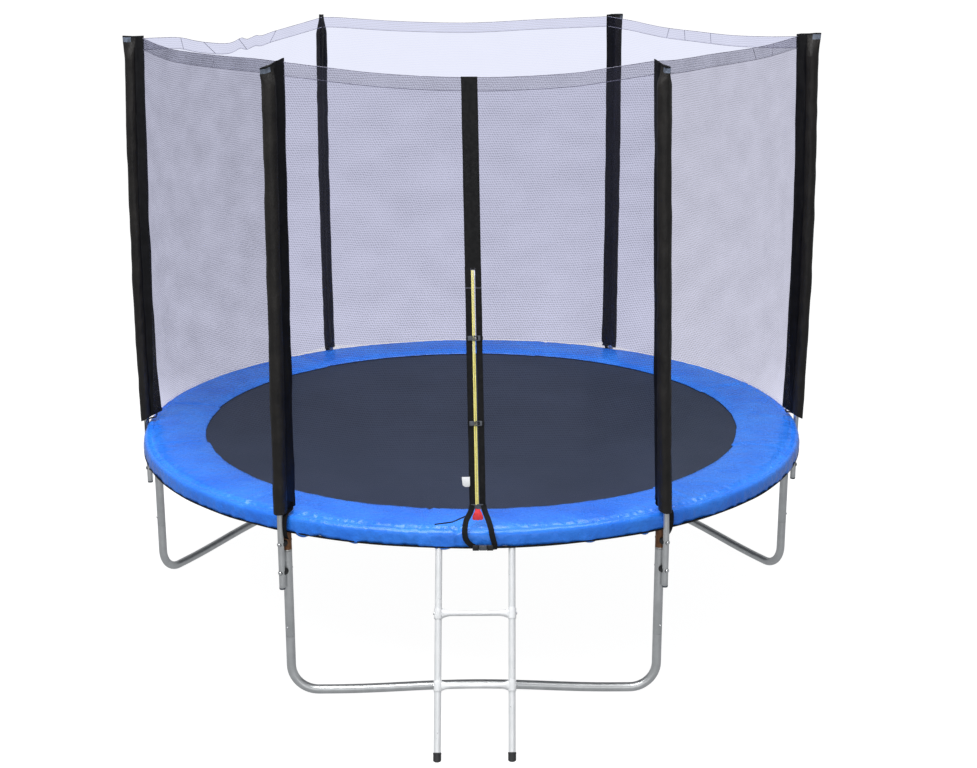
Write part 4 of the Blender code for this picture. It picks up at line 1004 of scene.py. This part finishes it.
def make_door():
    """Two flaps of net, each with its black binding and half of the zip, and the cord along the left one's
    foot.
    """
    for name, s in (("left", -1), ("right", 1)):
        grid = np.zeros((FLAP_ROWS, FLAP_COLS, 3))
        for r, t in enumerate(np.linspace(0, 1, FLAP_ROWS)):
            share = FLAP_START + (FLAP_END - FLAP_START) * t
            hinge = APEX_Z + (NET_BOTTOM - APEX_Z) * share
            slit = APEX_Z - 0.03 + (SLIT_BOTTOM_Z - APEX_Z + 0.03) * t
            for c, q in enumerate(np.linspace(0, 1, FLAP_COLS)):
                x = s * (0.0006 + (FRONT_HALF * share - 0.0006) * q)
                foot = flap_foot(x) - SLIT_BOTTOM_Z - (hinge - SLIT_BOTTOM_Z) * q
                grid[r, c] = door_point(x, slit + (hinge - slit) * q + foot * t**6 * (1 - q**8))
        body = f"door_{name}"
        sheet(f"door_net_{name}", grid[:, ::s], "net_front", body, [f"door_flap_{name}"], planar=True)
        b = Build()
        inner, outer = s * BINDING[0], s * BINDING[1]
        heights = (BINDING_LOW, BINDING_TOP)
        b.sweep(door_tape(both(inner, outer), heights, TAPE_LIFT, TAPE_THICK, TAPE_WAVE, 21 + s))
        for x in (0.01, 0.029):
            b.sweep(door_tape(both(s * x, s * (x + SEAM_WIDE)), heights, 0.0032, SEAM_THICK))
        low, high = (both(s * 0.0005 + ZIP_SHIFT, s * w + ZIP_SHIFT)[0] for w in (ZIP_LOW, ZIP_TOP))
        b.sweep(door_tape((low, high), (BINDING_LOW, APEX_Z - 0.01), 0.0034, 0.0018), 1)
        for z in np.arange(SLIT_BOTTOM_Z + 0.01, APEX_Z - 0.014, TOOTH_PITCH):
            b.sweep(block(door_point(s * 0.0021 + ZIP_SHIFT, z, 0.0046), TOOTH, DOOR_AXES, 0.0004), 1)
        if s < 0:
            xs = np.linspace(0.032, 0.17, 20)
            cord = [door_point(s * x, flap_foot(x), 0.001) for x in xs]
            b.sweep(tube_rings(cord, DOOR_CORD_R, 10, DOOR_FRONT))
        b.make(f"door_binding_{name}", ["tape", "yellow"], body=body, slot="net_mesh")
    b = Build()
    heights = (APEX_Z, front_top(0) + 0.003)
    b.sweep(door_tape(both(-0.031, 0.031), heights, TAPE_LIFT, 0.0026, TAPE_WAVE, 33))
    middle = (APEX_Z - 0.009, APEX_Z + 0.004)
    b.sweep(door_tape(both(-0.0072, 0.0072), middle, TAPE_LIFT, TAPE_THICK, steps=6))
    for s in (-1, 1):
        sides = both(s * BINDING[0], s * BINDING[1])
        strip = (BINDING_TOP + 0.001, APEX_Z + 0.004)
        b.sweep(door_tape(sides, strip, TAPE_LIFT, TAPE_THICK, steps=12))
    for x in (-0.0285, -0.0015, 0.026):
        b.sweep(door_tape(both(x, x + SEAM_WIDE), heights, 0.0034, SEAM_THICK))
    b.make("door_top_binding", ["tape"], slot="net_mesh")


CLIP_PLACE = ((0.0, 0.0), (0.0, 0.0), (-0.001, -0.021))  # across and up from the middle of each clip
PLUG_BLOCKS = (  # place across, up and out, sizes, bevel
    ((-0.0155, 0, 0.0052), (0.0195, 0.0185, 0.0058), 0.0014),
    ((0.0005, -0.0052, 0.005), (0.015, 0.0026, 0.0034), 0.0006),
    ((0.0005, 0.0052, 0.005), (0.015, 0.0026, 0.0034), 0.0006),
    ((0.0015, 0, 0.005), (0.017, 0.0028, 0.0036), 0.0006),
)
SOCKET_BLOCKS = (
    ((0.007, -0.0084, 0.005), (0.019, 0.0026, 0.0058), 0.0007),
    ((0.007, 0.0084, 0.005), (0.019, 0.0026, 0.0058), 0.0007),
    ((0.019, 0, 0.005), (0.009, 0.0194, 0.0062), 0.0014),
)


def make_clips():
    """Three side-release clips: a plug with prongs on the left flap, an open socket on the right one."""
    axes, materials = DOOR_AXES, ["grey", "tape"]
    for k, z in enumerate(CLIP_Z):
        at = door_point(0, z, 0.001) + CLIP_PLACE[k][0] * axes[0] + CLIP_PLACE[k][1] * axes[1]
        halves = (
            ("plug", f"clip_{k + 1}", PLUG_BLOCKS, (-0.032, -0.02), [f"door_clip_{k + 1}"]),
            ("socket", "door_right", SOCKET_BLOCKS, (0.022, 0.033), []),
        )
        for name, body, blocks, (near, far), replaces in halves:
            b = Build()
            for place, sizes, bevel in blocks:
                b.sweep(block(at + np.array(place) @ np.array(axes), sizes, axes, bevel))
            loop = [at + x * axes[0] + 0.0036 * axes[2] for x in np.linspace(near, far, 6)]
            b.sweep(ribbon(loop, axes[1], 0.014, 0.0016), 1)
            b.make(f"clip_{name}_{k + 1}", materials, body=body, slot="black_plastic", replaces=replaces)


PULL_LONG, PULL_HALF_TOP, PULL_HALF_LOW, PULL_THICK = 0.04, 0.0095, 0.0205, 0.0013


def make_slider():
    """The zip's slider, and its cloth pull: narrow at the top, wide and scalloped at its end."""
    across, up, front = axes = DOOR_AXES
    at = door_point(0, SLIT_BOTTOM_Z + 0.012, -0.0032)
    b = Build()
    b.sweep(block(at, (0.0125, 0.02, 0.0036), axes, 0.0012))
    b.sweep(block(at - 0.0022 * front - 0.002 * up, (0.0045, 0.012, 0.0028), axes, 0.001))
    rings = []
    for t in np.linspace(0, 1, 16):
        half = PULL_HALF_TOP + (PULL_HALF_LOW - PULL_HALF_TOP) * smooth(t * 1.2) + 0.0006 * sin(t * 20)
        centre = at - (0.031 + PULL_LONG * t) * up + (0.01 + 0.0042 * sin(t * 2.6)) * front
        row = []
        for side, xs in ((1, np.linspace(-1, 1, 13)), (-1, np.linspace(1, -1, 13))):
            for x in xs:
                scallop = 0.007 * abs(cos(x * 4.7)) * (1 - 0.5 * x * x) * smooth(t * 4 - 3)
                row.append(centre + x * half * across + side * PULL_THICK * front - scallop * up)
        rings.append(np.array(row))
    b.sweep(rings, 1)
    b.make("zip_pull", ["plastic", "red"], body="slider", slot="pull_red", replaces=["zip_slider"])


# ---- straps ----

LOOP_SIDES = (  # (x from the slit, y, z) down each side of the loop under the door
    (
        (-0.021, -1.5, 0.893), (-0.027, -1.507, 0.868), (-0.044, -1.524, 0.838), (-0.05, -1.541, 0.808),
        (-0.05, -1.549, 0.788), (-0.044, -1.551, 0.766), (-0.026, -1.55, 0.746), (-0.006, -1.547, 0.733),
        (-0.004, -1.54, 0.723), (-0.004, -1.522, 0.719),
    ),
    (
        (0.023, -1.5, 0.893), (0.029, -1.507, 0.868), (0.042, -1.524, 0.838), (0.052, -1.541, 0.808),
        (0.056, -1.549, 0.785), (0.061, -1.551, 0.764), (0.065, -1.55, 0.748), (0.066, -1.547, 0.734),
        (0.064, -1.54, 0.724), (0.062, -1.522, 0.72),
    ),
)
LOOP_WIDE, LOOP_THICK = 0.022, 0.0022
BUCKLE = (0.02, -1.5555, 0.7355)  # x from the slit, y, z
TAG_Z, TAG_LONG, TAG_LEFT, TAG_RIGHT = 1.002, 0.039, -0.059, -0.028
POLE_STRAP = (  # (distance out, along the rim, height) of the strap over the rim beside each pole
    (1.505, 0.022, 0.812), (1.53, 0.024, 0.8065), (1.5465, 0.024, 0.793), (1.5505, 0.023, 0.762),
    (1.549, 0.021, 0.735), (1.542, 0.019, 0.712), (1.53, 0.018, 0.694),
)
POLE_STRAP_WIDE, POLE_STRAP_THICK = 0.021, 0.0028
BAND_R, BAND_Z, BAND_WAVE = 1.5345, 0.7292, 0.0015
BAND_SECTION = ((0.0045, -0.001), (0.0035, 0.0028), (-0.006, 0.003), (-0.006, -0.0035), (0.002, -0.004))


def make_loop():
    """The loop of strap under the door, and its buckle."""
    slit = door_point(0, SLIT_BOTTOM_Z)[0]
    b = Build()
    for side in LOOP_SIDES:
        path = spline([(slit + x, y, z) for x, y, z in side], 60)
        b.sweep(ribbon(path, EX, LOOP_WIDE, LOOP_THICK))
    low = [(slit + x, -1.5505, 0.735) for x in np.linspace(-0.014, 0.068, 14)]
    b.sweep(ribbon(low, UP, LOOP_WIDE * 0.8, LOOP_THICK))
    b.make("rim_strap", ["tape"], slot="net_mesh")
    b = Build()
    axes = (EX, UP, -EY)
    c = np.array(BUCKLE) + slit * EX
    b.sweep(block(c, (0.03, 0.02, 0.0075), axes, 0.002), 1)
    for side in (-1, 1):
        b.sweep(block(c + side * 0.028 * EX + 0.0008 * EY, (0.025, 0.0225, 0.006), axes, 0.0018))
        b.sweep(block(c + side * 0.017 * EX - 0.0006 * EY, (0.0022, 0.0215, 0.0078), axes, 0.0008))
    b.make("rim_buckle", ["plastic", "grey"], slot="black_plastic")


def make_straps():
    """The pole straps over the rim, and the band that ties the net under it."""
    for i in range(LEGS):
        e, lateral = out(leg_angle(i)), out(leg_angle(i) + pi / 2)
        _, inward = sleeve_frame(i, SLEEVE_BOTTOM)
        tip = flange_tip(i, SLEEVE_BOTTOM)
        start = [tip - 0.016 * inward + 0.055 * UP, tip - 0.018 * inward + 0.032 * UP]
        path = start + [r * e + w * lateral + z * UP for r, w, z in POLE_STRAP]
        b = Build()
        b.sweep(ribbon(spline(path, 44), lateral, POLE_STRAP_WIDE, POLE_STRAP_THICK))
        b.make(f"pole_strap_{i + 1}", ["flange"], slot="sleeve_cover")
    band = []
    for t in np.arange(240) * 2 * np.pi / 240:
        r = BAND_R + BAND_WAVE * noise(t * 9, 0.5, 77)
        z = BAND_Z + BAND_WAVE * noise(t * 11, 1.5, 78)
        band.append(np.array([(r + q) * out(t) + (z + h) * UP for q, h in BAND_SECTION]))
    b = Build()
    b.sweep(band, closed=True)
    b.make("net_tie_band", ["flange"], slot="net_mesh")


def make_tag():
    """The blank tag sewn to the left flap."""
    across, up, front = DOOR_AXES
    tag = []
    for t in np.linspace(0, 1, 14):
        corner = 0.01 * max(0.0, t - 0.75) ** 2 * 16
        xs = np.linspace(TAG_LEFT + 0.003 * t + corner, TAG_RIGHT - 0.3 * corner, 6)
        centre = door_point(0, TAG_Z, 0.005 + 0.004 * sin(t * 2.4)) - TAG_LONG * t * up
        faces = ((0.0005, xs), (-0.0005, xs[::-1]))
        tag.append(np.array([centre + x * across + h * front for h, part in faces for x in part]))
    b = Build()
    b.sweep(tag)
    b.make("blank_tag", ["label"], body="door_left", slot="net_mesh")


# ---- ladder ----

HOOK_CORNERS = (
    (HOOK_IN, -0.0118), (HOOK_IN + 0.0004, -HOOK_HALF), (HOOK_OUT - 0.0004, -HOOK_HALF), (HOOK_OUT, -0.0118),
    (HOOK_OUT, 0.0118), (HOOK_OUT - 0.0004, HOOK_HALF), (HOOK_IN + 0.0004, HOOK_HALF), (HOOK_IN, 0.0118),
)
CAP = (
    (0.0, LADDER_R + 0.0003), (0.0001, FOOT_R - 0.0008), (0.0012, FOOT_R), (0.006, FOOT_R),
    (0.0065, FOOT_R - 0.0006),
)
STEP_SHAPE = ((0.0, 0.019, 0.01), (0.018, 0.018, 0.01), (0.03, 0.0135, 0.01), (0.046, 0.01, 0.01))
COLLAR = (
    (-0.021, 0.0142), (-0.0205, 0.0158), (-0.018, 0.0163), (0.018, 0.0163), (0.0205, 0.0158), (0.021, 0.0142),
)


def ladder_axes():
    """(down along a ladder rail, out of the ladder's front)."""
    down = unit([LADDER_SLANT, -LADDER_FOOT_RUN, -RING_Z])
    return down, unit(np.cross(down, EX))


def make_ladder():
    """Two hooked rails with rubber caps, and two steps that flare into a collar round each rail."""
    down, front = ladder_axes()
    ys = [-sqrt(RING_R**2 - (LADDER_X + s * LADDER_HALF) ** 2) for s in (-1, 1)]
    hinge = np.array([LADDER_X, sum(ys) / 2, RING_Z])
    length = (RING_Z - LADDER_LIFT) / abs(down[2])
    for name, s in (("left", -1), ("right", 1)):
        top = hinge + s * LADDER_HALF * EX
        b = Build()
        reach = [LADDER_TOP, LADDER_TOP + 0.0012, *np.linspace(0.03, length - 0.006, 14)]
        b.sweep(tube_rings([top + d * down for d in reach], [LADDER_R - 0.001] + [LADDER_R] * 15, 24, EX))
        hook = []
        for t in np.radians(np.linspace(HOOK_FROM, HOOK_TO, 40)):
            ray = cos(t) * EY + sin(t) * UP
            hook.append(np.array([top + r * ray + w * EX for r, w in HOOK_CORNERS]))
        b.sweep(hook)
        for z in STEP_Z:
            at = top + (RING_Z - z) / abs(down[2]) * down + s * COLLAR[2][1] * EX
            screw(b, at, s * EX, 0.005, 1)
        # the rails take the near-white steel that paints their highlight
        materials, rail = ["ladder", "bolt"], [f"ladder_rail_{name}"]
        b.make(f"ladder_tube_{name}", materials, body="ladder", slot=STEEL, replaces=rail)
        foot = top + (length - FOOT_LONG) * down
        b = Build()
        cap = lathe(foot, down, CAP, 24, EX)
        floor = cap[-1] - (cap[-1][:, 2] / down[2])[:, None] * down
        b.sweep([*cap, cap[-1] * 0.75 + floor * 0.25, cap[-1] * 0.03 + floor * 0.97, floor])
        node = [f"ladder_foot_{name}"]
        b.make(f"foot_cap_{name}", ["rubber"], body="ladder", slot="foot_rubber", replaces=node)
    for name, z in zip(("upper", "lower"), STEP_Z):
        centre = hinge + (RING_Z - z) / abs(down[2]) * down
        xs, tall, deep = zip(*STEP_SHAPE)
        rings = []
        for x in np.linspace(-LADDER_HALF + 0.006, LADDER_HALF - 0.006, 90):
            t, d = (np.interp(LADDER_HALF - abs(x), xs, values) for values in (tall, deep))
            rings.append(ring_points(centre + x * EX, t * down, d * front, 1.0, 28))
        b = Build()
        b.sweep(rings)
        for s in (-1, 1):
            b.sweep(lathe(centre + s * LADDER_HALF * EX, down, COLLAR, 28, EX))
        b.make(f"step_{name}", ["white"], body="ladder", slot="step_white", replaces=[f"ladder_step_{name}"])


# ---- stage ----

FLOOR_SIZE, DOME_R, DOME_RINGS, DOME_SIDES = 90.0, 60.0, 12, 48
FLOOR_GREY, FLOOR_GLOW, BACK_GREY, BACK_GLOW = 0.15, 0.965, 0.8, 1.05
SKY_COLOUR, SKY_STRENGTH, AIM = (0.95, 0.97, 1.0, 1), 0.38, Vector((0, 0.3, 1.0))
LAMPS = (  # name, place, size across and up, watts
    ("key", (-2.0, -3.5, 7.0), (5.0, 5.0), 430), ("top", (0.5, 0.5, 7.0), (5.0, 5.0), 330),
    ("front", (0.3, -9.5, 1.6), (8.0, 4.0), 90),
)
CAMERA_PLACE, CAMERA_TURN, CAMERA_LENS = (-0.0272, -7.4493, 3.1016), (pi / 2 - 0.2732, 0.001, -0.0141), 61.61


def stage_object(name, points, faces, material):
    mesh = bpy.data.meshes.new(name)
    mesh.from_pydata([tuple(p) for p in points], [], [tuple(f) for f in faces])
    mesh.materials.append(material)
    obj = bpy.data.objects.new(name, mesh)
    bpy.context.scene.collection.objects.link(obj)
    return obj


def make_stage():
    """A pale floor and a white backdrop round it, soft light, and the camera."""
    s = FLOOR_SIZE
    corners = [(-s, -s, -0.0005), (s, -s, -0.0005), (s, s, -0.0005), (-s, s, -0.0005)]
    pale = glow_material("floor", [FLOOR_GREY] * 3, FLOOR_GLOW)
    floor = stage_object("floor", corners, [(0, 1, 2, 3)], pale)
    floor.visible_diffuse = floor.visible_glossy = False
    rings = []
    for t in np.linspace(0, pi / 2 - 0.05, DOME_RINGS):
        rings.append(ring_points(DOME_R * sin(t) * UP - 0.2 * UP, EX, EY, DOME_R * cos(t), DOME_SIDES))
    dome = stage_object(
        "backdrop", np.concatenate(rings), grid_faces(DOME_RINGS, DOME_SIDES, wrap_cols=True),
        glow_material("backdrop", [BACK_GREY] * 3, BACK_GLOW),
    )
    dome.visible_diffuse = dome.visible_glossy = dome.visible_shadow = False
    scene = bpy.context.scene
    scene.world = bpy.data.worlds.new("studio")
    scene.world.use_nodes = True
    back = scene.world.node_tree.nodes["Background"]
    back.inputs["Color"].default_value = SKY_COLOUR
    back.inputs["Strength"].default_value = SKY_STRENGTH
    for name, place, (wide, tall), power in LAMPS:
        lamp = bpy.data.lights.new(name, "AREA")
        lamp.shape, lamp.size, lamp.size_y, lamp.energy = "RECTANGLE", wide, tall, power
        obj = bpy.data.objects.new(name, lamp)
        obj.location = place
        obj.rotation_mode = "QUATERNION"
        obj.rotation_quaternion = (AIM - Vector(place)).to_track_quat("-Z", "Y")
        scene.collection.objects.link(obj)
    scene.view_settings.view_transform = "Standard"
    camera = bpy.data.cameras.new("camera")
    camera.lens, camera.clip_end = CAMERA_LENS, 200
    obj = bpy.data.objects.new("camera", camera)
    obj.location, obj.rotation_euler = CAMERA_PLACE, CAMERA_TURN
    scene.collection.objects.link(obj)
    scene.camera = obj


for make in (
    make_rails, make_legs, make_poles, make_sleeves, make_mat, make_springs, make_pad, make_panels,
    make_front, make_door, make_clips, make_slider, make_loop, make_straps, make_tag, make_ladder, make_stage,
):
    make()
